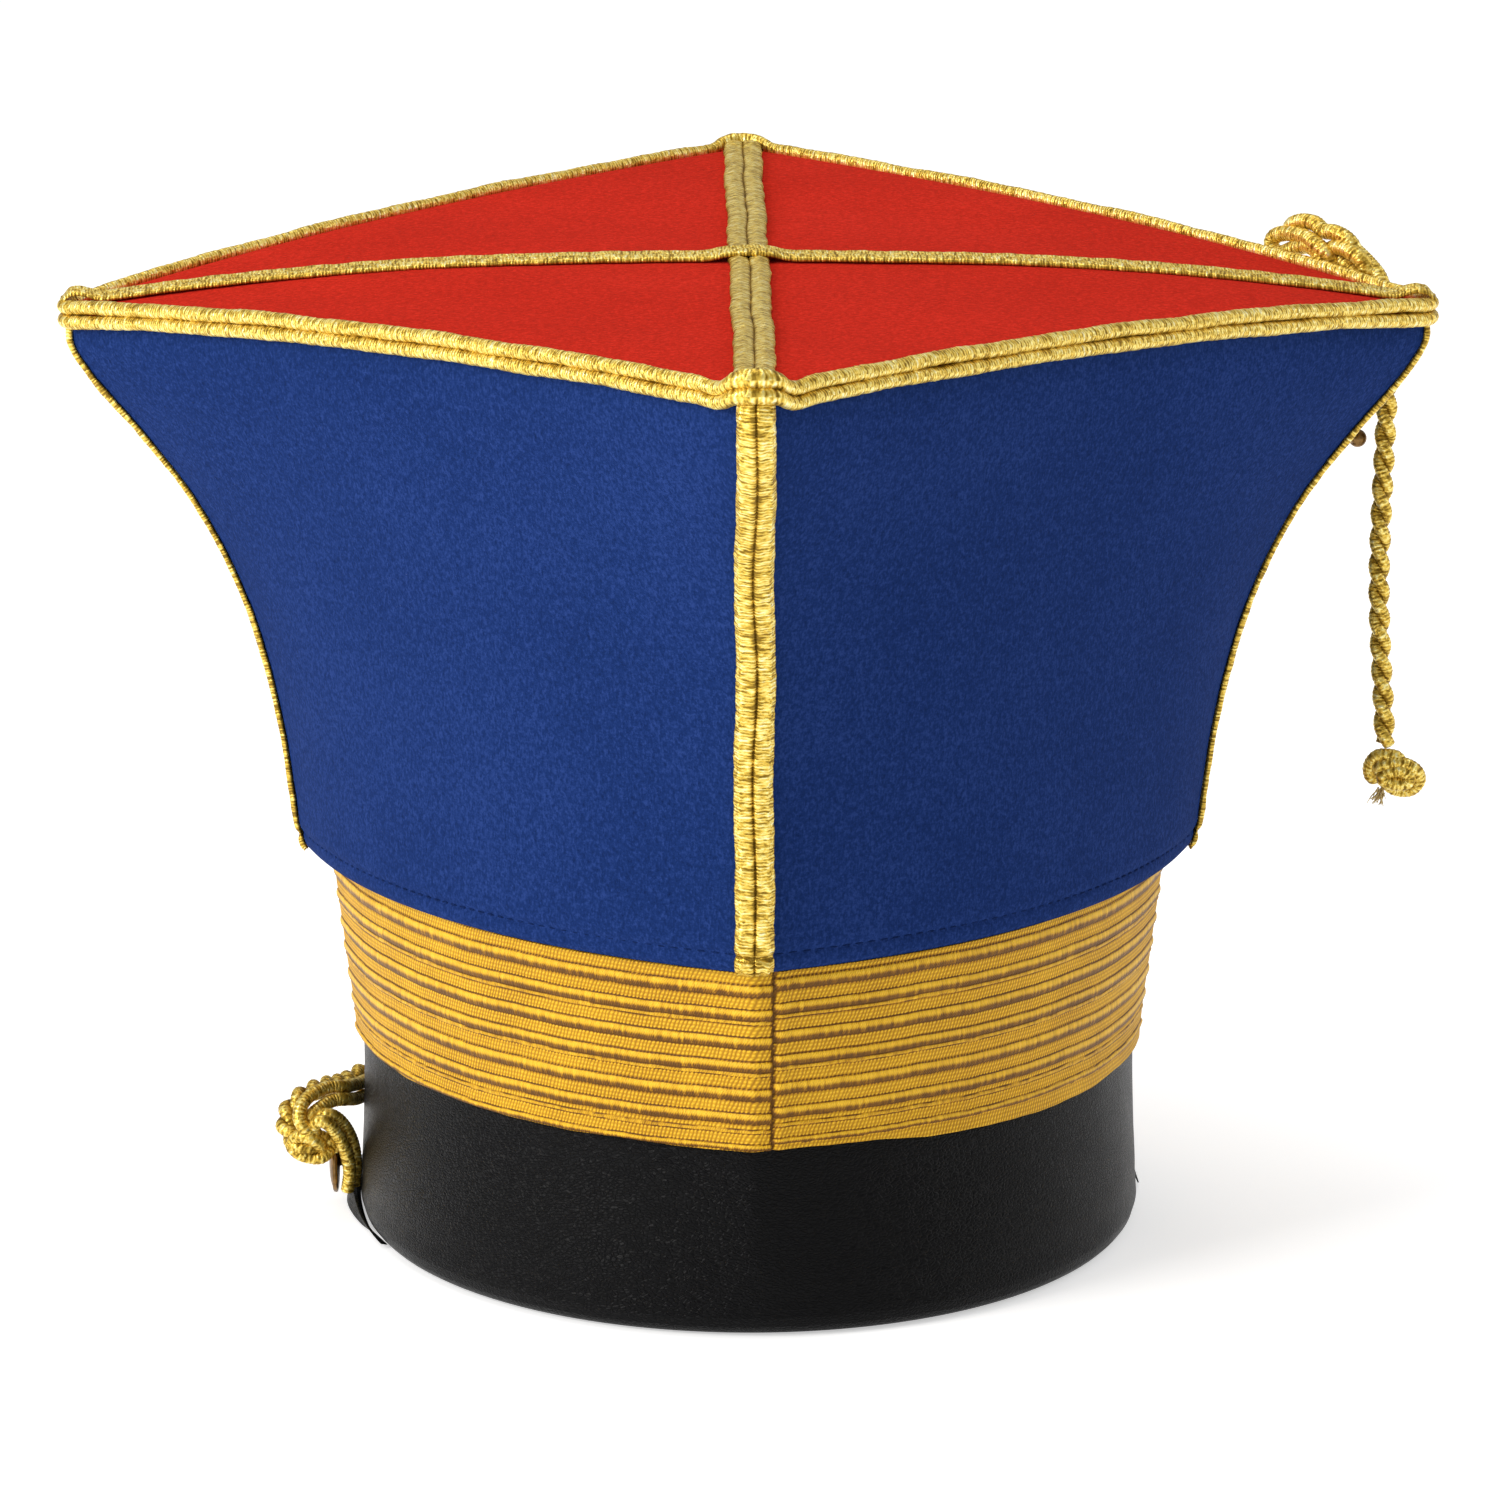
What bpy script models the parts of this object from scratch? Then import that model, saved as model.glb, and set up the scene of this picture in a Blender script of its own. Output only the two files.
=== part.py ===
# Square-topped lancer cap: leather base, ribbed lace band, four cloth panels and a square red crown.
# Metres, +Z up. The peak points to +Y, the wearer's left is -X, and the origin is on the ground
# at the middle of the head opening.

from math import atan2, cos, pi, sin, sqrt

import bmesh
import bpy
from mathutils import Vector

MM = 0.001

# Clearance between pieces that lie on each other
GAP = 0.35 * MM

# Leather base: the stiff tube that goes round the head and up inside the cloth.
# Its plan is an oval at the bottom and four flatter sides with soft corners at the top.
LEATHER_WALL = 3.0 * MM
AROUND = 40
CREASE_BULGE = 0.137  # how far a flatter side bows out, as a share of the straight line under it
LEATHER_COLUMNS = ("height", "half_width", "half_depth", "roundness")
LEATHER_ROWS = (
    (0.0, 83.2, 102.4, 1.00),
    (1.8, 84.7, 104.0, 0.98),
    (8.0, 85.1, 104.4, 0.90),
    (20.0, 84.7, 103.5, 0.70),
    (40.0, 84.6, 102.4, 0.31),
    (60.0, 87.0, 105.0, 0.15),
    (80.0, 89.3, 107.6, 0.00),
    (92.0, 89.8, 108.0, 0.00),
)

# Lace band: flat woven rows between raised satin cords, wrapped round the leather
LACE_BOTTOM = 40.0 * MM
LACE_TOP = 79.8 * MM
LACE_CLOTH = 1.1 * MM
LACE_RISE = {"flat": 0.0 * MM, "thread": 0.3 * MM, "cord": 0.75 * MM}
LACE_REPEAT = (("flat", 2.6), ("cord", 2.7), ("flat", 2.6), ("cord", 2.5), ("thread", 0.9))
LACE_HEM = (("flat", 1.1), ("thread", 0.9), ("flat", 2.3), ("cord", 1.4))

# Cloth body: four panels from the lace up to the edge of the square crown
BODY_BOTTOM = 80.4 * MM
BODY_HALF_WIDTH = 96.3 * MM
BODY_HALF_DEPTH = 112.0 * MM
BODY_BULGE = 18.5 * MM
BODY_WALL = 2.2 * MM
HEM_CLEARANCE = 1.3 * MM
BODY_COLUMNS = ("height_share", "spread_share")
BODY_ROWS = (
    (0.00, 0.000),
    (0.04, 0.030),
    (0.11, 0.055),
    (0.22, 0.093),
    (0.34, 0.155),
    (0.45, 0.232),
    (0.56, 0.342),
    (0.67, 0.490),
    (0.79, 0.710),
    (0.90, 0.930),
    (0.95, 1.000),
    (1.00, 1.000),
)
ACROSS_PANEL = (0.0, 0.035, 0.12, 0.30, 0.50, 0.70, 0.88, 0.965, 1.0)

# Crown: a square standing on its corners, whose left and right corners droop
CROWN_HEIGHT = 211.0 * MM
CROWN_REACH = 146.0 * MM
CROWN_CORNER_RADIUS = 5.0 * MM
CROWN_DROOP = 9.6 * MM
CROWN_DROOP_POWER = 2.5
CROWN_WALL = 2.0 * MM
CROWN_SHARP_REACH = CROWN_REACH + (sqrt(2) - 1) * CROWN_CORNER_RADIUS

# Gold braid: two padded cords side by side
BRAID_HALF_WIDTH = 4.3 * MM
BRAID_HEIGHT = 2.2 * MM
TOP_BRAID_HEIGHT = 1.1 * MM
SIDE_BRAID_HEIGHT = 1.2 * MM
SIDE_BRAID_SHIFT = 3.3 * MM  # the side seams' braid lies mostly on the front panels
TOP_BRAID_END = 136.0 * MM
SEAM_BRAID_TOP = 0.975  # height share where the rim cord takes over
RIM_CORD_WIDTH = 2.6 * MM
RIM_CORD_RISE = 2.6 * MM
RIM_TOP = 1.2 * MM  # how far the upper cord stands above the red cloth

# Peak: a leather crescent whose ends run back along the sides as thin strips
PEAK_REACH = 147.0 * MM
PEAK_HALF_WIDTH = 86.9 * MM
PEAK_THICKNESS = 2.2 * MM
PEAK_STRIP_THICKNESS = 1.4 * MM
PEAK_ENDS = (0.06, 2.22)  # quarter turns where the right and the left strip end
PEAK_TAPER = 0.22  # quarter turns over which a strip thins towards its end
PEAK_ROOT_SIDE = 3.0 * MM
PEAK_ROOT_FRONT = 17.0 * MM
PEAK_EDGE_HEIGHT = 0.4 * MM
PEAK_BOW = 2.0 * MM
PEAK_STATIONS = 26

# Chin cord of two twisted strands, its eyes and its two side buttons
ROPE_RADIUS = 2.5 * MM
STRAND_RADIUS = 1.4 * MM
CHIN_CORD_HEIGHT = 22.5 * MM
CHIN_CORD_SHORT = 0.09  # quarter turns left to the right button for its eye
BUTTON_RADIUS = 7.3 * MM
BUTTON_DOME = 2.0 * MM
SHANK_RADIUS = 1.4 * MM
SHANK_LENGTH = 3.5 * MM
LEFT_BUTTON = {"turn": 1.985, "height": 9.4 * MM}
RIGHT_BUTTON = {"turn": 0.245, "height": 22.5 * MM}
EYE_HALF_LENGTH = 8.0 * MM
EYE_HALF_WIDTH = 4.1 * MM

# Knotted cord on the wearer's right corner
CORNER_KNOT_ALONG = 37.0 * MM  # from the sharp right corner, along the front right edge
CORNER_KNOT_HEIGHT = 203.4 * MM
CORNER_KNOT_STRETCH = 1.49
HANG_X = 139.6 * MM
HANG_Y = 18.5 * MM
HANG_TOP = 201.0 * MM
HANG_BOTTOM = 99.2 * MM
END_KNOT_CENTRE = Vector((142.4, 18.5, 92.4)) * MM
HOOK_HEIGHT = 168.5 * MM
HOOK_TURN = 0.052
HOOK_START = 0.9 * MM  # its slanting foot then just clears the cloth
HOOK_LENGTH = 16.8 * MM

COLOURS = {
    "blue_cloth": ((0.017, 0.045, 0.20, 1.0), 0.95, 0.0),
    "red_cloth": ((0.55, 0.022, 0.010, 1.0), 0.95, 0.0),
    "yellow_lace": ((0.72, 0.36, 0.025, 1.0), 0.55, 0.0),
    "gold_braid": ((0.72, 0.50, 0.13, 1.0), 0.40, 0.8),
    "gold_cord": ((0.62, 0.42, 0.10, 1.0), 0.45, 0.7),
    "black_leather": ((0.012, 0.012, 0.013, 1.0), 0.42, 0.0),
    "dark_brass": ((0.22, 0.13, 0.05, 1.0), 0.35, 1.0),
}


def clear_scene():
    for obj in list(bpy.data.objects):
        bpy.data.objects.remove(obj)


def make_material(name):
    colour, roughness, metallic = COLOURS[name]
    material = bpy.data.materials.new(name)
    material.use_nodes = True
    shader = material.node_tree.nodes["Principled BSDF"]
    shader.inputs["Base Color"].default_value = colour
    shader.inputs["Roughness"].default_value = roughness
    shader.inputs["Metallic"].default_value = metallic
    return material


def material_of(name):
    return bpy.data.materials.get(name) or make_material(name)


def add_object(name, data, material):
    data.materials.append(material_of(material))
    obj = bpy.data.objects.new(name, data)
    bpy.context.scene.collection.objects.link(obj)
    return obj


def loft(name, sections, material, loop=False):
    """Skins equal closed sections into one body. A loop joins the last to the first, else both are capped."""
    bm = bmesh.new()
    rings = [[bm.verts.new(point) for point in section] for section in sections]
    pairs = list(zip(rings, rings[1:]))
    if loop:
        pairs.append((rings[-1], rings[0]))
    for first, second in pairs:
        count = len(first)
        for i in range(count):
            j = (i + 1) % count
            bm.faces.new((first[i], first[j], second[j], second[i]))
    if not loop:
        bm.faces.new(rings[0])
        bm.faces.new(rings[-1])
    bmesh.ops.recalc_face_normals(bm, faces=bm.faces)
    mesh = bpy.data.meshes.new(name)
    bm.to_mesh(mesh)
    bm.free()
    mesh.shade_smooth()
    mesh.set_sharp_from_angle(angle=pi / 5)
    return add_object(name, mesh, material)


def cord(name, points, radius, material, closed=False, sides=2):
    """A round cord through the points, closed on itself or with filled ends."""
    curve = bpy.data.curves.new(name, "CURVE")
    curve.dimensions = "3D"
    curve.bevel_depth = radius
    curve.bevel_resolution = sides
    curve.use_fill_caps = not closed
    spline = curve.splines.new("POLY")
    spline.points.add(len(points) - 1)
    for slot, point in zip(spline.points, points):
        slot.co = (*point, 1.0)
    spline.use_cyclic_u = closed
    return add_object(name, curve, material)


def turned(name, profile, place, axis, material, steps=14):
    """A solid of revolution: profile rows are (distance along the axis, radius), from tip to tip."""
    axis = axis.normalized()
    side = axis.cross(Vector((0, 0, 1))).normalized()
    up = side.cross(axis)
    sections = []
    for along, radius in profile:
        centre = place + axis * along
        angles = [2 * pi * k / steps for k in range(steps)]
        sections.append([centre + (side * cos(a) + up * sin(a)) * radius for a in angles])
    return loft(name, sections, material)


def mix(a, b, share):
    return a + (b - a) * share


def smooth_curve(points, steps):
    """Points on a smooth curve through the given ones, with a number of steps for each span."""
    padded = [points[0] * 2 - points[1], *points, points[-1] * 2 - points[-2]]
    found = []
    for a, b, c, d in zip(padded, padded[1:], padded[2:], padded[3:]):
        for k in range(steps):
            t = k / steps
            found.append(
                0.5 * (2 * b + (c - a) * t + (2 * a - 5 * b + 4 * c - d) * t**2
                       + (3 * b - a - 3 * c + d) * t**3)
            )
    return [*found, points[-1].copy()]


def table_at(rows, place):
    """The other columns of a table at a value of its first column, on straight lines between rows."""
    for low, high in zip(rows, rows[1:]):
        if place <= high[0]:
            break
    share = min(1.0, max(0.0, (place - low[0]) / (high[0] - low[0])))
    return [mix(a, b, share) for a, b in zip(low[1:], high[1:])]


def corner_of(quarter, half_width, half_depth):
    corners = ((half_width, 0), (0, half_depth), (-half_width, 0), (0, -half_depth))
    return Vector(corners[quarter % 4])


def bowed_side(turn, half_width, half_depth, bulge, power=2.0):
    """A plan point on four bowed sides. Turn counts quarter turns from +X towards +Y."""
    quarter = int(turn // 1)
    share = turn - quarter
    start = corner_of(quarter, half_width, half_depth)
    end = corner_of(quarter + 1, half_width, half_depth)
    line = end - start
    outward = Vector((line.y, -line.x)).normalized()
    return start + line * share + outward * bulge * (1 - abs(2 * share - 1) ** power)


def oval(turn, half_width, half_depth):
    return Vector((half_width * cos(turn * pi / 2), half_depth * sin(turn * pi / 2)))


def base_plan(turn, half_width, half_depth, roundness):
    bulge = CREASE_BULGE * sqrt(half_width**2 + half_depth**2)
    flatter = bowed_side(turn, half_width, half_depth, bulge)
    return mix(flatter, oval(turn, half_width, half_depth), roundness)


def leather_surface(turn, height, offset=0.0):
    """A point on the outside of the leather base, moved out in plan by offset."""
    half_width, half_depth, roundness = table_at(LEATHER_ROWS, height / MM)
    plan = base_plan(turn, half_width * MM + offset, half_depth * MM + offset, roundness)
    return Vector((plan.x, plan.y, height))


def make_leather_base():
    heights = [row[0] * MM for row in LEATHER_ROWS]
    sections = []
    for k in range(AROUND):
        turn = 4 * k / AROUND
        outside = [leather_surface(turn, height) for height in heights]
        inside = [leather_surface(turn, height, -LEATHER_WALL) for height in heights[:0:-1]]
        rolled = leather_surface(turn, 0.0, -LEATHER_WALL * 0.7)
        sections.append([*outside, *inside, rolled])
    return loft("leather_base", sections, "black_leather", loop=True)


def lace_profile():
    """(height, rise) down the outside of the lace, from its rows."""
    rows = [*LACE_REPEAT, *LACE_REPEAT, *LACE_REPEAT[:4], *LACE_HEM]
    scale = (LACE_TOP - LACE_BOTTOM) / sum(height for _, height in rows)
    profile = [(LACE_TOP, 0.0)]
    place = LACE_TOP
    for kind, height in rows:
        low = place - height * scale
        if LACE_RISE[kind] > 0:
            profile.append((mix(place, low, 0.5), LACE_RISE[kind]))
        profile.append((low, 0.0))
        place = low
    return profile


def make_lace_band():
    inner = GAP
    sections = []
    for k in range(AROUND):
        turn = 4 * k / AROUND
        outside = [
            leather_surface(turn, height, inner + LACE_CLOTH + rise) for height, rise in lace_profile()
        ]
        inside = [
            leather_surface(turn, height, inner) for height in (LACE_BOTTOM, 60 * MM, LACE_TOP)
        ]
        sections.append([*outside, *inside])
    return loft("lace_band", sections, "yellow_lace", loop=True)


def crown_surface(x):
    """Height of the red cloth, which falls away towards the left and right corners."""
    reach = min(1.0, abs(x) / CROWN_REACH)
    return CROWN_HEIGHT - CROWN_DROOP * reach**CROWN_DROOP_POWER


def panel_point(turn, height_share, spread_share, inset=0.0):
    """A point on the outside of the cloth body, moved in in plan by inset."""
    low = bowed_side(turn, BODY_HALF_WIDTH - inset, BODY_HALF_DEPTH - inset, BODY_BULGE)
    reach = CROWN_REACH - inset * sqrt(2)
    edge_bulge = (CROWN_SHARP_REACH - CROWN_REACH) / sqrt(2)
    high = bowed_side(turn, reach, reach, edge_bulge, power=8.0)
    plan = mix(low, high, spread_share)
    top = crown_surface(high.x) - CROWN_WALL - GAP
    return Vector((plan.x, plan.y, mix(BODY_BOTTOM, top, height_share)))


def make_body_panel(name, quarter):
    """One cloth side. Its hem turns in below, as far as the leather base."""
    seam = 0.5 * GAP / CROWN_REACH
    sections = []
    for row, (height_share, spread_share) in enumerate(BODY_ROWS):
        outside = []
        inside = []
        for share in ACROSS_PANEL:
            turn = quarter + min(1 - seam, max(seam, share))
            outside.append(panel_point(turn, height_share, spread_share))
            if row == 0:
                inside.append(leather_surface(turn, BODY_BOTTOM, HEM_CLEARANCE))
            else:
                inside.append(panel_point(turn, height_share, spread_share, BODY_WALL))
        sections.append([*outside, *inside[::-1]])
    return loft(name, sections, "blue_cloth")


def make_crown_panel(name, quarter):
    """One red quarter of the crown, a thin sheet that follows the droop."""
    half_seam = 0.5 * GAP
    ways = Vector(((1, 1), (-1, 1), (-1, -1), (1, -1))[quarter])
    steps = 6
    sections = []
    for ring in range(1, steps + 1):
        top = []
        for k in range(steps + 1):
            edge = bowed_side(k / steps, CROWN_REACH, CROWN_REACH,
                              (CROWN_SHARP_REACH - CROWN_REACH) / sqrt(2), power=8.0)
            plan = edge * ring / steps if ring > 1 else edge * 0.02
            x, y = max(half_seam, plan.x) * ways.x, max(half_seam, plan.y) * ways.y
            top.append(Vector((x, y, crown_surface(x))))
        under = [point - Vector((0, 0, CROWN_WALL)) for point in top[::-1]]
        sections.append([*top, *under])
    return loft(name, sections, "red_cloth")


def braid_outline(half_width, height, shift=0.0):
    """Two lobes side by side: (across, up) from one foot to the other. A shifted one gets a fold point."""
    lobe = ((1.0, 0.0), (1.0, 0.35), (0.80, 0.85), (0.50, 1.0), (0.20, 0.85))
    right = [(half_width * across, height * up) for across, up in lobe]
    left = [(-across, up) for across, up in reversed(right)]
    outline = [(across + shift, up) for across, up in (*right, (0.0, height * 0.55), *left)]
    if shift:
        fold = next(k for k, (across, _) in enumerate(outline) if across < 0)
        (across_a, up_a), (across_b, up_b) = outline[fold - 1 : fold + 1]
        outline.insert(fold, (0.0, mix(up_a, up_b, across_a / (across_a - across_b))))
    return outline


def seam_row(quarter, height_share):
    """The corner point of the body at a height, and points a little way along the two panels."""
    spread_share = table_at(BODY_ROWS, height_share)[0]
    corner = panel_point(quarter, height_share, spread_share)
    after = panel_point(quarter + ACROSS_PANEL[1], height_share, spread_share)
    before = panel_point(quarter - ACROSS_PANEL[1], height_share, spread_share)
    return corner, before, after


def make_seam_braid(name, quarter, height=BRAID_HEIGHT, shift=0.0):
    """Double braid bent over a corner of the body, more of it on one panel where it is shifted."""
    shares = [row[0] for row in BODY_ROWS if row[0] <= 0.95] + [SEAM_BRAID_TOP]
    rows = [seam_row(quarter + 4, share) for share in shares]
    corners = [row[0] for row in rows]
    sections = []
    for k, (corner, before, after) in enumerate(rows):
        along = (corners[min(k + 1, len(rows) - 1)] - corners[max(k - 1, 0)]).normalized()
        ways = []
        for neighbour, sign in ((after, 1), (before, -1)):
            across = neighbour - corner
            across = (across - along * across.dot(along)).normalized()
            ways.append((across, across.cross(along).normalized() * sign))
        (across_a, normal_a), (across_b, normal_b) = ways
        mitre = (normal_a + normal_b) / (1 + normal_a.dot(normal_b))
        section = []
        for place, up in braid_outline(BRAID_HALF_WIDTH, height, shift):
            rise = GAP + up
            if place > 0:
                section.append(corner + across_a * place + normal_a * rise)
            elif place < 0:
                section.append(corner - across_b * place + normal_b * rise)
            else:
                section.append(corner + mitre * rise)
        section.append(corner + mitre * GAP)
        sections.append(section)
    return loft(name, sections, "gold_braid")


def make_top_braid(name, direction, start, end, steps):
    """Double braid laid flat over the crown, from start to end along a plan direction."""
    across = Vector((-direction.y, direction.x, 0))
    sections = []
    for k in range(steps + 1):
        plan = direction * mix(start, end, k / steps)
        section = []
        for place, up in braid_outline(BRAID_HALF_WIDTH, TOP_BRAID_HEIGHT):
            point = Vector((plan.x, plan.y, 0)) + across * place
            point.z = crown_surface(point.x) + GAP + up
            section.append(point)
        sections.append(section)
    return loft(name, sections, "gold_braid")


def rim_stations():
    """(plan point, outward direction) round the square crown, with rounded corners."""
    along_edge = 7
    on_corner = 4
    stations = []
    centre_reach = CROWN_SHARP_REACH - sqrt(2) * CROWN_CORNER_RADIUS
    for quarter in range(4):
        centre = corner_of(quarter, centre_reach, centre_reach)
        for k in range(on_corner):
            angle = (quarter - 0.5 + k / (on_corner - 1)) * pi / 2
            outward = Vector((cos(angle), sin(angle)))
            stations.append((centre + outward * CROWN_CORNER_RADIUS, outward))
        outward = Vector((cos((quarter + 0.5) * pi / 2), sin((quarter + 0.5) * pi / 2)))
        start = centre + outward * CROWN_CORNER_RADIUS
        end = corner_of(quarter + 1, centre_reach, centre_reach) + outward * CROWN_CORNER_RADIUS
        for k in range(1, along_edge):
            stations.append((mix(start, end, k / along_edge), outward))
    return stations


def make_rim_cord(name, outline):
    """A cord round the edge of the crown. Outline points are (out from the edge, up from the red cloth)."""
    sections = []
    for plan, outward in rim_stations():
        section = []
        for out, up in outline:
            spot = plan + outward * out
            section.append(Vector((spot.x, spot.y, crown_surface(plan.x) + up)))
        sections.append(section)
    return loft(name, sections, "gold_braid", loop=True)


def half_round(width, rise, steps=6):
    """(along, up) points of a flattened half circle, from one foot to the other."""
    angles = [pi * k / steps for k in range(steps + 1)]
    return [(0.5 * width * (1 - cos(a)), rise * sin(a) ** 0.75) for a in angles]


def make_rim():
    profile = half_round(RIM_CORD_WIDTH, RIM_CORD_RISE)
    lower_top = RIM_TOP - RIM_CORD_WIDTH - GAP
    make_rim_cord("rim_cord_upper", [(GAP + out, RIM_TOP - down) for down, out in profile])
    make_rim_cord("rim_cord_lower", [(GAP + out, lower_top - down) for down, out in profile])


def peak_section(turn, thickness, root_height):
    """Inner and outer faces of the peak at a turn, as one closed section."""
    front = max(0.0, sin(turn * pi / 2))
    root = leather_surface(turn, 8.0 * MM, GAP)
    root.z = root_height
    reach = oval(turn, PEAK_HALF_WIDTH, PEAK_REACH)
    if front <= 0:
        reach = Vector((root.x, root.y))
    edge = Vector((reach.x, reach.y, PEAK_EDGE_HEIGHT))
    slope = edge - root
    normal = oval(turn, 1 / PEAK_HALF_WIDTH, 1 / PEAK_REACH).normalized()
    level = Vector((normal.x, normal.y, 0))
    along = slope.normalized()
    up = (level - along * level.dot(along)).normalized()
    if up.z < 0:
        up = Vector((level.x, level.y, 0))
    middle = mix(root, edge, 0.5) + up * PEAK_BOW * front
    under = [root, middle, edge]
    return [*under, *[point + up * thickness for point in reversed(under)]]


def make_peak():
    sections = []
    for k in range(PEAK_STATIONS + 1):
        turn = mix(*PEAK_ENDS, k / PEAK_STATIONS)
        front = max(0.0, sin(turn * pi / 2))
        to_end = max(0.0, min(turn - PEAK_ENDS[0], PEAK_ENDS[1] - turn))
        tail = min(1.0, to_end / PEAK_TAPER)
        strip = mix(0.6 * MM, PEAK_STRIP_THICKNESS, tail)
        thickness = mix(strip, PEAK_THICKNESS, front)
        root_height = mix(PEAK_ROOT_SIDE, PEAK_ROOT_FRONT, front**1.2)
        sections.append(peak_section(turn, thickness, root_height))
    return loft("peak", sections, "black_leather")


def outward_at(turn):
    normal = oval(turn, 1 / LEATHER_ROWS[2][1], 1 / LEATHER_ROWS[2][2]).normalized()
    return Vector((normal.x, normal.y, 0))


def make_button(name, spot):
    """Domed button on a shank that stands off the leather."""
    foot = leather_surface(spot["turn"], spot["height"], GAP)
    rim = BUTTON_RADIUS
    face = SHANK_LENGTH
    profile = (
        (0.0, SHANK_RADIUS),
        (face, SHANK_RADIUS),
        (face, rim * 0.92),
        (face + 0.5 * MM, rim),
        (face + BUTTON_DOME * 0.65, rim * 0.86),
        (face + BUTTON_DOME * 0.93, rim * 0.5),
        (face + BUTTON_DOME, rim * 0.12),
    )
    return turned(name, profile, foot, outward_at(spot["turn"]), "dark_brass")


def make_eye(name, spot, long_way):
    """The end loop of the cord, lying round a button's shank. Long_way leads towards the cord."""
    outward = outward_at(spot["turn"])
    middle = leather_surface(spot["turn"], spot["height"]) + outward * (STRAND_RADIUS + 0.5 * MM)
    middle += long_way * (EYE_HALF_LENGTH - EYE_HALF_WIDTH - 0.3 * MM)
    across = outward.cross(long_way)
    points = []
    steps = 16
    for k in range(steps):
        angle = 2 * pi * k / steps
        points.append(
            middle + long_way * EYE_HALF_LENGTH * cos(angle) + across * EYE_HALF_WIDTH * sin(angle)
        )
    return cord(name, points, STRAND_RADIUS, "gold_cord", closed=True, sides=1)


def chin_cord_route():
    """From the left eye, once out and round beside the button, then forward round the base to the right."""
    curl = [
        Vector(place) * MM
        for place in (
            (-91.8, -6.5, 23.0),
            (-94.2, -9.0, 17.5),
            (-98.2, -6.5, 13.8),
            (-101.0, 0.0, 15.0),
            (-100.4, 7.5, 19.0),
            (-96.4, 16.0, 21.5),
            (-91.4, 25.0, 22.5),
        )
    ]
    stretch = []
    for k in range(17):
        turn = mix(1.72, RIGHT_BUTTON["turn"] + CHIN_CORD_SHORT, k / 16)
        stretch.append(leather_surface(turn, CHIN_CORD_HEIGHT, 2.4 * GAP + ROPE_RADIUS))
    return smooth_curve(curl + stretch, 2)


def make_chin_cord():
    cord("chin_cord", chin_cord_route(), ROPE_RADIUS, "gold_cord")
    make_button("side_button_left", LEFT_BUTTON)
    make_button("side_button_right", RIGHT_BUTTON)
    make_eye("cord_eye_left", LEFT_BUTTON, Vector((0, 0, 1)))
    outward = outward_at(RIGHT_BUTTON["turn"])
    forward = Vector((-outward.y, outward.x, 0))
    make_eye("cord_eye_right", RIGHT_BUTTON, forward)


def knot_path(centre, across, up, loops, reach, swing, depth, steps):
    """A closed knot that goes twice round its centre, with a number of loops, over and under itself."""
    outward = across.cross(up).normalized()
    points = []
    for k in range(steps):
        turn = 2 * pi * k / steps
        radius = reach + swing * cos(loops * turn)
        place = centre + across * radius * cos(2 * turn) + up * radius * sin(2 * turn)
        points.append(place + outward * depth * sin(loops * turn))
    return points


def corner_knot_centre():
    """Outside the front right edge of the crown, against the lower rim cord."""
    stand_off = GAP + RIM_CORD_RISE + GAP + 1.75 * MM + STRAND_RADIUS
    along = CORNER_KNOT_ALONG / sqrt(2)
    plan = Vector((CROWN_SHARP_REACH - along, along)) + Vector((1, 1)) * stand_off / sqrt(2)
    return Vector((plan.x, plan.y, CORNER_KNOT_HEIGHT))


def make_corner_cord():
    """Knot on the right corner, the cord that hangs from it, and the knot at its end."""
    centre = corner_knot_centre()
    edge_way = Vector((1, -1, 0)).normalized()
    up = Vector((0, 0, 1))
    cord(
        "corner_knot",
        knot_path(centre, edge_way * CORNER_KNOT_STRETCH, up, 5, 6.9 * MM, 2.9 * MM, 1.75 * MM, 40),
        STRAND_RADIUS, "gold_cord", closed=True, sides=1,
    )
    route = [
        Vector((HANG_X - 0.4 * MM, HANG_Y, HANG_TOP)),
        Vector((HANG_X + 0.4 * MM, HANG_Y, HANG_TOP - 14 * MM)),
        Vector((HANG_X, HANG_Y, 172 * MM)),
        Vector((HANG_X - 1.0 * MM, HANG_Y, 136 * MM)),
        Vector((HANG_X + 0.4 * MM, HANG_Y, HANG_BOTTOM + 8 * MM)),
        Vector((HANG_X + 0.9 * MM, HANG_Y, HANG_BOTTOM)),
    ]
    cord("corner_cord", smooth_curve(route, 2), ROPE_RADIUS, "gold_cord")
    cord(
        "cord_end_knot",
        knot_path(END_KNOT_CENTRE, Vector((1, 0, 0)), up, 3, 3.3 * MM, 1.6 * MM, 1.7 * MM, 30),
        STRAND_RADIUS, "gold_cord", closed=True, sides=1,
    )


def make_corner_hook():
    """Ball-ended brass hook on the front right panel, close to the right seam."""
    height_share = (HOOK_HEIGHT - BODY_BOTTOM) / (crown_surface(CROWN_REACH) - CROWN_WALL - BODY_BOTTOM)
    spread_share = table_at(BODY_ROWS, height_share)[0]
    foot = panel_point(HOOK_TURN, height_share, spread_share)
    beside = panel_point(0.5 * HOOK_TURN, height_share, spread_share)
    above = panel_point(HOOK_TURN, height_share + 0.03, table_at(BODY_ROWS, height_share + 0.03)[0])
    normal = (foot - beside).cross(above - foot).normalized()
    axis = (Vector((1, 1, 0)).normalized() + normal * 0.2).normalized()
    profile = (
        (HOOK_START, 0.9 * MM),
        (HOOK_LENGTH - 2.6 * MM, 0.9 * MM),
        (HOOK_LENGTH - 1.8 * MM, 1.7 * MM),
        (HOOK_LENGTH - 0.4 * MM, 2.0 * MM),
        (HOOK_LENGTH + 0.9 * MM, 1.4 * MM),
        (HOOK_LENGTH + 1.4 * MM, 0.4 * MM),
    )
    return turned("corner_hook", profile, foot, axis, "dark_brass", steps=12)


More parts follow.
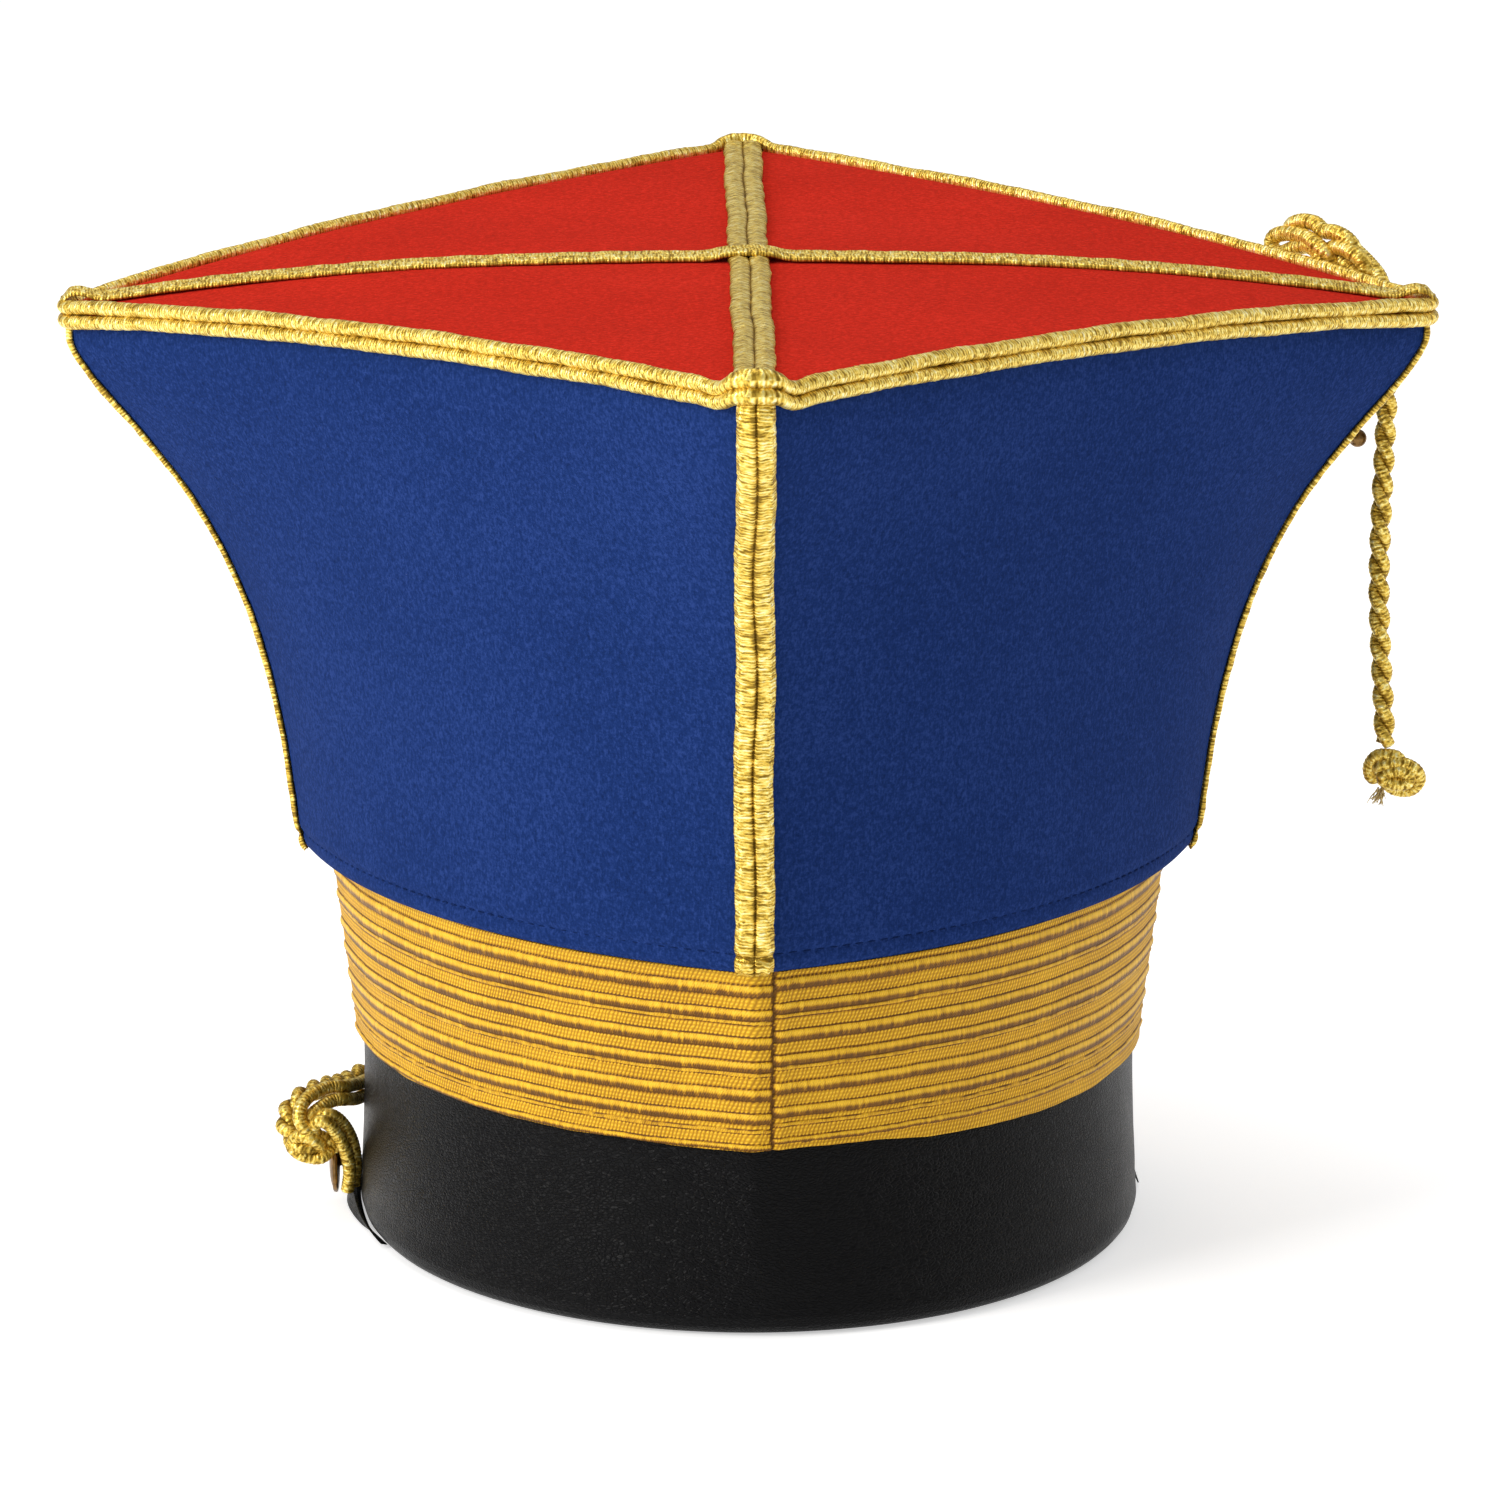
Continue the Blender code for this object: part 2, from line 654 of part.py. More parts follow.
def main():
    clear_scene()
    make_leather_base()
    make_lace_band()
    panel_names = ("front_right", "front_left", "back_left", "back_right")
    for quarter, name in enumerate(panel_names):
        make_body_panel("panel_" + name, quarter)
        make_crown_panel("crown_" + name, quarter)
    make_seam_braid("seam_braid_right", 0, SIDE_BRAID_HEIGHT, SIDE_BRAID_SHIFT)
    make_seam_braid("seam_braid_front", 1)
    make_seam_braid("seam_braid_left", 2, SIDE_BRAID_HEIGHT, -SIDE_BRAID_SHIFT)
    make_seam_braid("seam_braid_back", 3)
    make_top_braid("top_braid_wide", Vector((1, 0)), -TOP_BRAID_END, TOP_BRAID_END, 12)
    first = BRAID_HALF_WIDTH + GAP
    make_top_braid("top_braid_back", Vector((0, -1)), first, TOP_BRAID_END, 4)
    make_top_braid("top_braid_front", Vector((0, 1)), first, TOP_BRAID_END, 4)
    make_rim()
    make_peak()
    make_chin_cord()
    make_corner_cord()
    make_corner_hook()


main()
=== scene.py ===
"""The looks of a square-topped lancer cap: cloth, ribbed lace, gold braid, twisted cord and black leather.

The file is laid out as an add-on: the sizes and colours that can be changed are properties, and each
group of pieces has its own operator. Lengths inside the shape functions are in millimetres.
"""

import bpy
import numpy as np
from mathutils import Matrix, Vector


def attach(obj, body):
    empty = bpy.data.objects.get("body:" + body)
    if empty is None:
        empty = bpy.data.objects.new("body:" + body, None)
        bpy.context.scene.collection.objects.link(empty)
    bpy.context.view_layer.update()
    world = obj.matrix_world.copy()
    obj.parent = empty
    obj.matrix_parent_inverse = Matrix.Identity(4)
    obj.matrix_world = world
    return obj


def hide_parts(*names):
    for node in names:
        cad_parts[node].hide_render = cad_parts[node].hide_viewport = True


bl_info = {
    "name": "Lancer cap looks",
    "version": (1, 0, 0),
    "blender": (4, 5, 0),
    "location": "View3D > Sidebar > Cap",
    "description": "Dresses the packed lancer cap in cloth, lace, braid, cord and leather",
    "category": "Object",
}

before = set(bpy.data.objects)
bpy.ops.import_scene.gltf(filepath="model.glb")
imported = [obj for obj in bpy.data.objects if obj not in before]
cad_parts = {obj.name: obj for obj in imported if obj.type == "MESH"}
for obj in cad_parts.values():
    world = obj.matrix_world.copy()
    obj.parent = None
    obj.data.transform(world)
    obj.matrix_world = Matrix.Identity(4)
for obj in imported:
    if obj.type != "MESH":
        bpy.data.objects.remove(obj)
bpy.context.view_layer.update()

MM = 0.001
GAP = 0.35

# Camera, as fitted to the photograph's outline
PHOTO_PIXELS = 1500
SENSOR_MM = 36.0
CAMERA_FOCAL_PIXELS = 9848.0
CAMERA_DISTANCE = 2150.0
CAMERA_ELEVATION = np.radians(13.02)
CAMERA_AZIMUTH = np.radians(-0.6)
CAMERA_TARGET = (0.3, 0.0, 102.4)

# The cap's own shape, as in its solids
LEATHER_WALL = 3.0
CREASE_BULGE = 0.137
LEATHER_ROWS = (  # height, half width, half depth, roundness
    (0.0, 83.2, 102.4, 1.00),
    (1.8, 84.7, 104.0, 0.98),
    (8.0, 85.1, 104.4, 0.90),
    (20.0, 84.7, 103.5, 0.70),
    (40.0, 84.6, 102.4, 0.31),
    (60.0, 87.0, 105.0, 0.15),
    (80.0, 89.3, 107.6, 0.00),
    (92.0, 89.8, 108.0, 0.00),
)
LEATHER_TOP = LEATHER_ROWS[-1][0]
QUARTER_MM = 152.0
BODY_BOTTOM = 80.4
BODY_HALF_WIDTH = 96.3
BODY_HALF_DEPTH = 112.0
BODY_BULGE = 18.5
BODY_WALL = 2.2
HEM_CLEARANCE = 1.3
BODY_ROWS = (  # height share, spread share
    (0.00, 0.000),
    (0.04, 0.030),
    (0.11, 0.055),
    (0.22, 0.093),
    (0.34, 0.155),
    (0.45, 0.232),
    (0.56, 0.342),
    (0.67, 0.490),
    (0.79, 0.710),
    (0.90, 0.930),
    (0.95, 1.000),
    (1.00, 1.000),
)
CROWN_HEIGHT = 211.0
CROWN_REACH = 146.0
CROWN_CORNER_RADIUS = 5.0
CROWN_DROOP = 9.6
CROWN_DROOP_POWER = 2.5
CROWN_WALL = 2.0
CROWN_TUCK = 0.7
CROWN_SHARP_REACH = CROWN_REACH + (np.sqrt(2) - 1) * CROWN_CORNER_RADIUS

LACE_BOTTOM = 40.0
LACE_TOP = 79.8
LACE_CLOTH = 1.1

BRAID_HALF_WIDTH = 4.3
BRAID_HEIGHT = 2.2
SIDE_BRAID_HEIGHT = 1.2
SIDE_BRAID_SHIFT = 3.3
TOP_BRAID_HEIGHT = 1.3
SEAM_BRAID_TOP = 0.992
RIM_CORD = 2.6
RIM_TOP = 1.2

LEFT_BUTTON_TURN = 1.985
LEFT_BUTTON_HEIGHT = 9.4
RIGHT_BUTTON_TURN = 0.245
RIGHT_BUTTON_HEIGHT = 22.5
CHIN_CORD_HEIGHT = 22.5
HANG_X, HANG_Y = 139.6, 18.5
HOOK_TURN = 0.052
HOOK_HEIGHT = 168.5

ROPE_STRAND = 1.42
ROPE_REACH = 1.00
ROPE_SIDES = 12
END_CAP_SHARE = 0.02

# Studio: lights by place, size in metres, watts and colour
WORLD_LIGHT = 0.38
FLOOR_GLOW = 0.50
LIGHTS = (
    ("key_left", (-1.6, -0.98, 1.0), (0.9, 1.3), 32.0, (1.0, 0.985, 0.96)),
    ("fill_top", (-0.2, 0.3, 2.2), (1.4, 1.4), 16.0, (1.0, 1.0, 1.0)),
    ("rim_right", (1.7, 0.5, 0.9), (0.6, 1.2), 6.0, (1.0, 0.99, 0.97)),
)


# Number helpers


def smooth_rows(table, place):
    """The other columns of a table at a place: a cubic through the rows, with the mean slope at each."""
    table = np.array(table, float)
    place = np.asarray(place, float)
    at, value = table[:, 0], table[:, 1:]
    slope = np.gradient(value, at, axis=0)
    i = np.clip(np.searchsorted(at, place, side="right") - 1, 0, len(at) - 2)
    step = at[i + 1] - at[i]
    t = np.clip((place - at[i]) / step, 0, 1)[..., None]
    step = step[..., None]
    found = (1 + 2 * t) * (1 - t) ** 2 * value[i] + t * (1 - t) ** 2 * step * slope[i]
    found = found + t * t * (3 - 2 * t) * value[i + 1] + t * t * (t - 1) * step * slope[i + 1]
    return np.moveaxis(found, -1, 0)


def ease(x):
    """0 below 0, 1 above 1, and a smooth step between."""
    x = np.clip(x, 0, 1)
    return x * x * (3 - 2 * x)


def hump(x, width, power=2.0):
    """1 at 0, falling to 0 over the width on either side."""
    return np.exp(-np.abs(x / width) ** power)


def ripple(x, seed, pitch, octaves=4):
    """A smooth random line between about -1 and 1: waves of falling length and height, from a seed."""
    rng = np.random.default_rng(seed)
    total = np.zeros_like(np.asarray(x, float))
    for k in range(octaves):
        turn, shift = rng.uniform(0.75, 1.3), rng.uniform(0, 2 * np.pi)
        total += np.sin(2 * np.pi * x * turn * 1.9**k / pitch + shift) * 0.62**k
    return total / 1.6


def unit(vectors):
    return vectors / np.maximum(np.linalg.norm(vectors, axis=-1, keepdims=True), 1e-9)


def square_to(vectors, along):
    """The part of each vector that is square to a unit direction, at length 1."""
    return unit(vectors - along * np.einsum("ij,ij->i", vectors, along)[:, None])


def full_turn(steps):
    return np.linspace(0, 2 * np.pi, steps, endpoint=False)


def xyz(x, y, z):
    return np.stack(np.broadcast_arrays(x, y, z), axis=-1).astype(float)


# Mesh helpers


def outward(points, faces):
    """The faces, turned over if the body they close has a negative volume."""
    a, b, c = points[faces[:, 0]], points[faces[:, 1]], points[faces[:, 2]]
    d = points[faces[:, 3]]
    volume = np.einsum("ij,ij->", a, np.cross(b, c)) + np.einsum("ij,ij->", a, np.cross(c, d))
    return faces if volume > 0 else faces[:, ::-1]


def new_object(name, data):
    made = bpy.data.objects.new(name, data)
    bpy.context.scene.collection.objects.link(made)
    return made


def piece_from(name, points, faces, uvs, material, replaced=(), marks=None):
    """Puts points in millimetres, four-cornered faces and their UVs into a mesh piece of the cap."""
    mesh = bpy.data.meshes.new(name)
    mesh.vertices.add(len(points))
    mesh.vertices.foreach_set("co", (points * MM).ravel())
    mesh.loops.add(faces.size)
    mesh.loops.foreach_set("vertex_index", faces.ravel().astype(np.int32))
    mesh.polygons.add(len(faces))
    mesh.polygons.foreach_set("loop_start", np.arange(0, faces.size, 4, dtype=np.int32))
    layer = mesh.uv_layers.new(name="UVMap")
    layer.uv.foreach_set("vector", uvs.ravel().astype(np.float32))
    for mark, values in (marks or {}).items():
        attribute = mesh.attributes.new(mark, "FLOAT", "POINT")
        attribute.data.foreach_set("value", values.ravel().astype(np.float32))
    mesh.update(calc_edges=True)
    mesh.validate()
    mesh.shade_smooth()
    mesh.materials.append(material)
    piece = new_object(name, mesh)
    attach(piece, "root")
    if replaced:
        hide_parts(*replaced)
    return piece


def grid_faces(rows, columns, wrap_rows, wrap_columns):
    """Corner indices of a grid's cells, into its points and into its (rows + 1, columns + 1) UV grid."""
    i = np.arange(rows if wrap_rows else rows - 1)[:, None]
    j = np.arange(columns if wrap_columns else columns - 1)[None, :]
    i, j = np.broadcast_arrays(i, j)
    spot = ((i, j), (i + 1, j), (i + 1, j + 1), (i, j + 1))
    point = [(a % rows) * columns + b % columns for a, b in spot]
    return np.stack(point, -1).reshape(-1, 4), spot


def grid_uvs(uv, spot):
    return np.stack([uv[a, b] for a, b in spot], -2).reshape(-1, 4, 2)


def uv_of(u, v):
    """A grid of UV pairs, from U and V that stretch to the same shape."""
    return np.stack(np.broadcast_arrays(u, v), -1)


class Body:
    """Grids and end caps gathered into one closed mesh."""

    def __init__(self):
        self.points, self.faces, self.uvs, self.marks = [], [], [], {}
        self.count = 0

    def grid(self, points, uv, wrap_rows, marks=None):
        """Adds closed rows of points (rows, columns, 3). The UV grid has one column more, and one row more
        if the last row joins the first."""
        faces, spot = grid_faces(*points.shape[:2], wrap_rows, True)
        self.add(points.reshape(-1, 3), faces, grid_uvs(uv, spot), marks)

    def add(self, points, faces, uvs, marks=None):
        self.faces.append(faces + self.count)
        self.points.append(points)
        self.uvs.append(uvs)
        for mark, values in (marks or {}).items():
            self.marks.setdefault(mark, []).append(values.ravel())
        self.count += len(points)

    def tube(self, rings, uv, close=True, marks=None):
        """Adds closed rings (rows, sides, 3). Their ends get a cap that shrinks on to its middle."""
        if close:
            ends = []
            for end in (rings[:1], rings[-1:]):
                middle = end.mean(1, keepdims=True)
                ends.append(middle + (end - middle) * END_CAP_SHARE)
            rings = np.concatenate([ends[0], rings, ends[1]])
            uv = np.concatenate([uv[:1], uv, uv[-1:]])
            if marks:
                marks = {k: np.concatenate([v[:1], v, v[-1:]]) for k, v in marks.items()}
        before = self.count
        self.grid(rings, uv, not close, marks)
        if close:
            self.cap(before, rings.shape[1], uv[0, 0])
            self.cap(before + (len(rings) - 1) * rings.shape[1], rings.shape[1], uv[-1, 0], True)

    def cap(self, start, sides, uv, turn_over=False):
        """Closes a tiny ring with four-cornered faces, two corners at a time, across an even ring."""
        k = np.arange((sides - 2) // 2)
        faces = start + np.stack([k, (sides - 1) - k, (sides - 2) - k, k + 1], -1)
        if turn_over:
            faces = faces[:, ::-1]
        self.faces.append(faces)
        self.uvs.append(np.broadcast_to(uv, (len(faces), 4, 2)).copy())

    def finish(self, name, material, replaced=()):
        points, faces = np.concatenate(self.points), np.concatenate(self.faces)
        uvs = np.concatenate(self.uvs)
        if outward(points, faces) is not faces:
            faces, uvs = faces[:, ::-1], uvs[:, ::-1]
        marks = {k: np.concatenate(v) for k, v in self.marks.items()}
        return piece_from(name, points, faces, uvs, material, replaced, marks)


def loop_body(name, sections, uv, material, replaced=(), marks=None):
    """A band that closes on itself both ways round: sections (around, profile, 3)."""
    body = Body()
    body.grid(sections, uv, True, marks)
    return body.finish(name, material, replaced)


def tube_piece(name, rings, uv, material, slot, replaced, marks=None):
    """A piece that is one tube with capped ends."""
    body = Body()
    body.tube(rings, uv, marks=marks)
    return body.finish(name, material, replaced)


def sheet_body(name, outer, inner, uv, material, replaced):
    """A thin solid between two equal grids: both faces, and a strip round their edges."""
    rows, columns = outer.shape[:2]
    count = rows * columns
    faces, spot = grid_faces(rows, columns, False, False)
    uvs = grid_uvs(uv, spot)
    number = np.arange(count).reshape(rows, columns)
    edge = np.concatenate([number[0, :-1], number[:-1, -1], number[-1, :0:-1], number[:0:-1, 0]])
    following = np.roll(edge, -1)
    strip = np.stack([edge, following, following + count, edge + count], -1)
    flat_uv = uv[:rows, :columns].reshape(-1, 2)
    strip_uv = np.stack([flat_uv[edge], flat_uv[following], flat_uv[following], flat_uv[edge]], -2)
    body = Body()
    points = np.concatenate([outer.reshape(-1, 3), inner.reshape(-1, 3)])
    everything = np.concatenate([faces, faces[:, ::-1] + count, strip[:, ::-1]])
    body.add(points, everything, np.concatenate([uvs, uvs[:, ::-1], strip_uv[:, ::-1]]))
    return body.finish(name, material, replaced)


# The cap's surfaces


def corner_plan(quarter, half_width, half_depth):
    ways = np.array([(1, 0), (0, 1), (-1, 0), (0, -1)], float)[quarter % 4]
    return ways[..., 0] * half_width, ways[..., 1] * half_depth


def bowed_plan(turn, half_width, half_depth, bulge, power=2.0):
    """Plan point on four bowed sides: along the straight side, plus outwards by the bulge times
    1 - |2 share - 1| ** power. Turn counts quarter turns from +X towards +Y."""
    quarter = np.floor(turn + 1e-9).astype(int)
    share = turn - quarter
    ax, ay = corner_plan(quarter, half_width, half_depth)
    bx, by = corner_plan(quarter + 1, half_width, half_depth)
    length = np.hypot(bx - ax, by - ay)
    out = bulge * (1 - np.abs(2 * share - 1) ** power)
    x = ax + (bx - ax) * share + (by - ay) / length * out
    y = ay + (by - ay) * share - (bx - ax) / length * out
    return x, y


def leather_point(turn, height, offset=0.0):
    """Outside of the leather base: a mix of an oval and four bowed sides, by the table's roundness."""
    half_width, half_depth, roundness = smooth_rows(LEATHER_ROWS, height)
    half_width, half_depth = half_width + offset, half_depth + offset
    bulge = CREASE_BULGE * np.hypot(half_width, half_depth)
    x, y = bowed_plan(turn, half_width, half_depth, bulge)
    angle = turn * np.pi / 2
    round_x, round_y = half_width * np.cos(angle), half_depth * np.sin(angle)
    return xyz(x + (round_x - x) * roundness, y + (round_y - y) * roundness, height)


def crown_height(x):
    return CROWN_HEIGHT - CROWN_DROOP * np.minimum(1, np.abs(x) / CROWN_REACH) ** CROWN_DROOP_POWER


def panel_surface(turn, height_share, inset=0.0):
    """Outside of a cloth side, from the lace's plan to the crown's, mixed by the table's spread."""
    spread = smooth_rows(BODY_ROWS, height_share)[0]
    low_x, low_y = bowed_plan(turn, BODY_HALF_WIDTH - inset, BODY_HALF_DEPTH - inset, BODY_BULGE)
    reach = CROWN_REACH - inset * np.sqrt(2)
    edge_bulge = (CROWN_SHARP_REACH - CROWN_REACH) / np.sqrt(2)
    high_x, high_y = bowed_plan(turn, reach, reach, edge_bulge, power=8.0)
    top = crown_height(high_x) - CROWN_WALL - GAP
    return xyz(
        low_x + (high_x - low_x) * spread,
        low_y + (high_y - low_y) * spread,
        BODY_BOTTOM + (top - BODY_BOTTOM) * height_share,
    )


def arc_length(points):
    """Distance along a line of points, from its first."""
    return np.concatenate([[0], np.cumsum(np.linalg.norm(np.diff(points, axis=0), axis=1))])


def resample(points, step=None, count=None, closed=False):
    """Points at even distances along a line, on a Catmull-Rom curve through the given ones."""
    points = np.array(points, float)
    if closed:
        padded = np.concatenate([points[-1:], points, points[:2]])
    else:
        padded = np.concatenate([2 * points[:1] - points[1:2], points, 2 * points[-1:] - points[-2:-1]])
    t = np.linspace(0, 1, 24, endpoint=False)[None, :, None]
    a, b, c, d = (padded[k : len(padded) - 3 + k][:, None, :] for k in range(4))
    fine = 0.5 * (2 * b + (c - a) * t + (2 * a - 5 * b + 4 * c - d) * t**2 + (3 * b - a - 3 * c + d) * t**3)
    last = points[:1] if closed else points[-1:]
    fine = np.concatenate([fine.reshape(-1, 3), last])
    along = arc_length(fine)
    count = count or max(4, int(round(along[-1] / step)))
    wanted = np.linspace(0, along[-1], count + 1)
    found = np.stack([np.interp(wanted, along, fine[:, k]) for k in range(3)], -1)
    return found[:-1] if closed else found


def path_frame(path, toward, closed=False):
    """Two directions square to a path, the first as near as can be to the one given."""
    if closed:
        tangent = unit(np.roll(path, -1, 0) - np.roll(path, 1, 0))
    else:
        tangent = unit(np.gradient(path, axis=0))
    first = square_to(np.broadcast_to(np.asarray(toward, float), path.shape), tangent)
    return first, np.cross(tangent, first)


def wound_rings(path, radius, toward, sides, pitch, closed=False, depth=0.035):
    """Rings of a thread-wound cord: each point stands radius * (1 + depth * wave) from the path, where the
    wave runs along the path with the pitch and leans round the cord. Returns rings and UV in mm."""
    first, second = path_frame(path, toward, closed)
    along = arc_length(np.concatenate([path, path[:1]]) if closed else path)
    if closed:
        pitch = along[-1] / round(along[-1] / pitch)
    place = along[: len(path), None]
    angle = full_turn(sides)[None, :]
    reach = radius * (1 + depth * np.cos(2 * np.pi * place / pitch + angle))
    rings = path[:, None] + reach[..., None] * (
        first[:, None] * np.cos(angle)[..., None] + second[:, None] * np.sin(angle)[..., None]
    )
    girth = 2 * np.pi * radius
    around = np.linspace(0, girth, sides + 1)
    return rings, uv_of(along[:, None], around[None, :])


def twisted_strands(path, toward, twist_pitch):
    """Middle lines of two strands that wind round a path like a rope, half a turn apart."""
    first, second = path_frame(path, toward)
    along = arc_length(path)[:, None]
    lines = []
    for start in (0.0, 0.5):
        angle = 2 * np.pi * (start - along / twist_pitch)
        lines.append(path + ROPE_REACH * (first * np.cos(angle) + second * np.sin(angle)))
    return lines


def rope(name, path, toward, replaced):
    """Two wound strands twisted together along a path. The hollow mark is strongest on the side of each
    strand that faces the other."""
    settings = bpy.context.scene.cap_sizes
    fine = resample(path, step=0.9)
    inner = -np.cos(full_turn(ROPE_SIDES))
    body = Body()
    for line in twisted_strands(fine, toward, settings.rope_twist_mm):
        line = resample(line, step=0.22)
        away = line - resample(fine, count=len(line) - 1)
        rings, uv = wound_rings(line, ROPE_STRAND, away, ROPE_SIDES, settings.winding_mm)
        # Painted shade on the side of each strand that faces the other.
        hollow = np.broadcast_to(0.85 * ease((inner + 0.35) / 0.9), (len(line), ROPE_SIDES))
        body.tube(rings, uv, marks={"hollow": hollow})
    return body.finish(name, once(cord_gold), replaced)


def wound_piece(name, lines, radius, toward, sides, replaced, step=0.2, closed=False):
    """A piece of single wound strands, one along each line, open with capped ends or closed into rings."""
    winding = bpy.context.scene.cap_sizes.winding_mm
    body = Body()
    for line in lines:
        path = resample(line, step=step, closed=closed)
        rings, uv = wound_rings(path, radius, toward, sides, winding, closed=closed)
        body.tube(rings, uv, close=not closed)
    return body.finish(name, once(cord_gold), replaced)


# Material helpers


def node(tree, kind, inputs=None, **settings):
    """Adds a shader node. Inputs are plain values or other nodes' output sockets."""
    made = tree.nodes.new("ShaderNode" + kind)
    for key, value in settings.items():
        setattr(made, key, value)
    for key, value in (inputs or {}).items():
        if isinstance(value, bpy.types.NodeSocket):
            tree.links.new(value, made.inputs[key])
        else:
            made.inputs[key].default_value = value
    return made


def calc(tree, operation, a, b=0.0, c=0.0):
    return node(tree, "Math", {0: a, 1: b, 2: c}, operation=operation).outputs[0]


def ramp(tree, value, stops):
    """A colour ramp, from (place, colour) pairs."""
    made = node(tree, "ValToRGB", {0: value})
    elements = made.color_ramp.elements
    while len(elements) < len(stops):
        elements.new(0.5)
    for element, (place, colour) in zip(elements, stops):
        element.position = place
        element.color = (*colour[:3], 1.0)
    return made.outputs[0]


def scaled(tree, vector, scale):
    return node(tree, "Mapping", {"Vector": vector, "Scale": scale}).outputs[0]


def noise(tree, vector, scale, detail=3.0, roughness=0.6):
    inputs = {"Vector": vector, "Scale": scale, "Detail": detail, "Roughness": roughness}
    return node(tree, "TexNoise", inputs).outputs["Fac"]


def drawn_noise(tree, vector, scale, detail=2.0, roughness=0.6):
    """Noise with a scale of its own along each axis, so that it can be drawn out along one."""
    return noise(tree, scaled(tree, vector, scale), 1.0, detail, roughness)


def weighted(tree, start, *terms):
    """A number, plus each given value times its weight."""
    for value, weight in terms:
        start = calc(tree, "MULTIPLY_ADD", value, weight, start)
    return start


def sine_of(tree, waves):
    """A sine that goes through one wave for each unit of the value."""
    return calc(tree, "SINE", calc(tree, "MULTIPLY", waves, 2 * np.pi))


def chosen(tree, mark, at_one, at_zero):
    """One value where the mark is 1 and another where it is 0."""
    zero_share = calc(tree, "SUBTRACT", 1.0, mark)
    return calc(tree, "MULTIPLY_ADD", at_zero, zero_share, calc(tree, "MULTIPLY", at_one, mark))


def mark_of(tree, name):
    return node(tree, "Attribute", attribute_name=name).outputs["Fac"]


def object_place(tree):
    return node(tree, "TexCoord").outputs["Object"]


def spread(tree, value, low, high):
    """A value stretched so that low becomes 0 and high becomes 1."""
    return node(tree, "MapRange", {"Value": value, "From Min": low, "From Max": high}).outputs[0]


def start_material(name, **constants):
    """A fresh material and its shader, with constant numbers set on the shader's own sockets."""
    material = bpy.data.materials.new(name)
    material.use_nodes = True
    tree = material.node_tree
    shader = tree.nodes["Principled BSDF"]
    for key, value in constants.items():
        shader.inputs[key.replace("_", " ")].default_value = value
    return material, tree, shader


def surface_uv(tree):
    """The piece's own UV map, in millimetres along and across it."""
    uv = node(tree, "UVMap", uv_map="UVMap").outputs[0]
    parts = node(tree, "SeparateXYZ", {0: uv})
    return uv, parts.outputs[0], parts.outputs[1]


def dress(tree, shader, colour, height, distance_mm, strength, rough=None):
    """Joins a colour, a relief and, where one is given, a roughness to the shader."""
    tree.links.new(colour, shader.inputs["Base Color"])
    if rough is not None:
        tree.links.new(rough, shader.inputs["Roughness"])
    bump = node(tree, "Bump", {"Height": height, "Distance": distance_mm * MM, "Strength": strength})
    tree.links.new(bump.outputs[0], shader.inputs["Normal"])


def colour_of(name):
    return tuple(getattr(bpy.context.scene.cap_colours, name))


def darker(colour, share):
    return tuple(share * part for part in colour[:3])


def paler(colour, share):
    return tuple(part + (1 - part) * share for part in colour[:3])


def once(make):
    """The material that a function below makes, under the function's name, made at its first use."""
    name = make.__name__
    return bpy.data.materials.get(name) or make(name)


def gold_thread(name, pitch, lean, bright, wave_share):
    """Metal thread laid side by side across a braid or round a cord. Threads follow the UV map: a wave
    along U that leans with V, worn and lit unevenly by noise that is drawn out along each thread. The
    hollow mark is 1 where the braid lies deep, and the thread looks dark there."""
    gold, pale, shade_paint = map(colour_of, ("gold", "gold_light", "gold_shaded"))
    material, tree, shader = start_material(name, Metallic=0.66, Specular_IOR_Level=0.4)
    uv, u, v = surface_uv(tree)
    drift = drawn_noise(tree, uv, (0.45, 0.35, 1))
    wave = sine_of(tree, weighted(tree, 0.0, (v, lean), (u, 1 / pitch), (drift, 2.2)))
    streak = spread(tree, drawn_noise(tree, uv, (1.15, 0.36, 1)), 0.36, 0.64)
    # Glint noise paints glints: it lifts the colour towards pale gold, and it also makes the thread glossier
    # and raises its bump.
    glint = spread(tree, drawn_noise(tree, uv, (1.0, 0.8, 1), roughness=0.7), 0.34, 0.66)
    patch = drawn_noise(tree, uv, (0.10, 0.16, 1))
    # The level picks the colour. The painted-shade mark pulls it down as painted shade, the glints lift it as
    # painted highlights, and the other noises give the threads' own uneven tone.
    level = weighted(tree, bright - 0.20, (streak, 0.48), (wave, wave_share), (glint, 0.30), (patch, 0.45),
                     (mark_of(tree, "hollow"), -0.42))
    # The dark stops are painted shade and the pale stops painted light; random dark and light threads use
    # them too.
    stops = ((0.06, darker(shade_paint, 0.7)), (0.30, shade_paint), (0.56, gold), (0.84, pale), (1.0, paler(pale, 0.35)))
    height = weighted(tree, 0.0, (streak, 0.5), (wave, 0.8 * wave_share), (glint, 0.5))
    rough = weighted(tree, 0.50, (glint, -0.22))
    dress(tree, shader, ramp(tree, level, stops), height, 0.22, 0.9, rough)
    return material


def braid_gold(name):
    return gold_thread(name, 0.72, 0.10, 0.19, 0.14)


def cord_gold(name):
    return gold_thread(name, 0.80, 0.12, 0.15, 0.10)


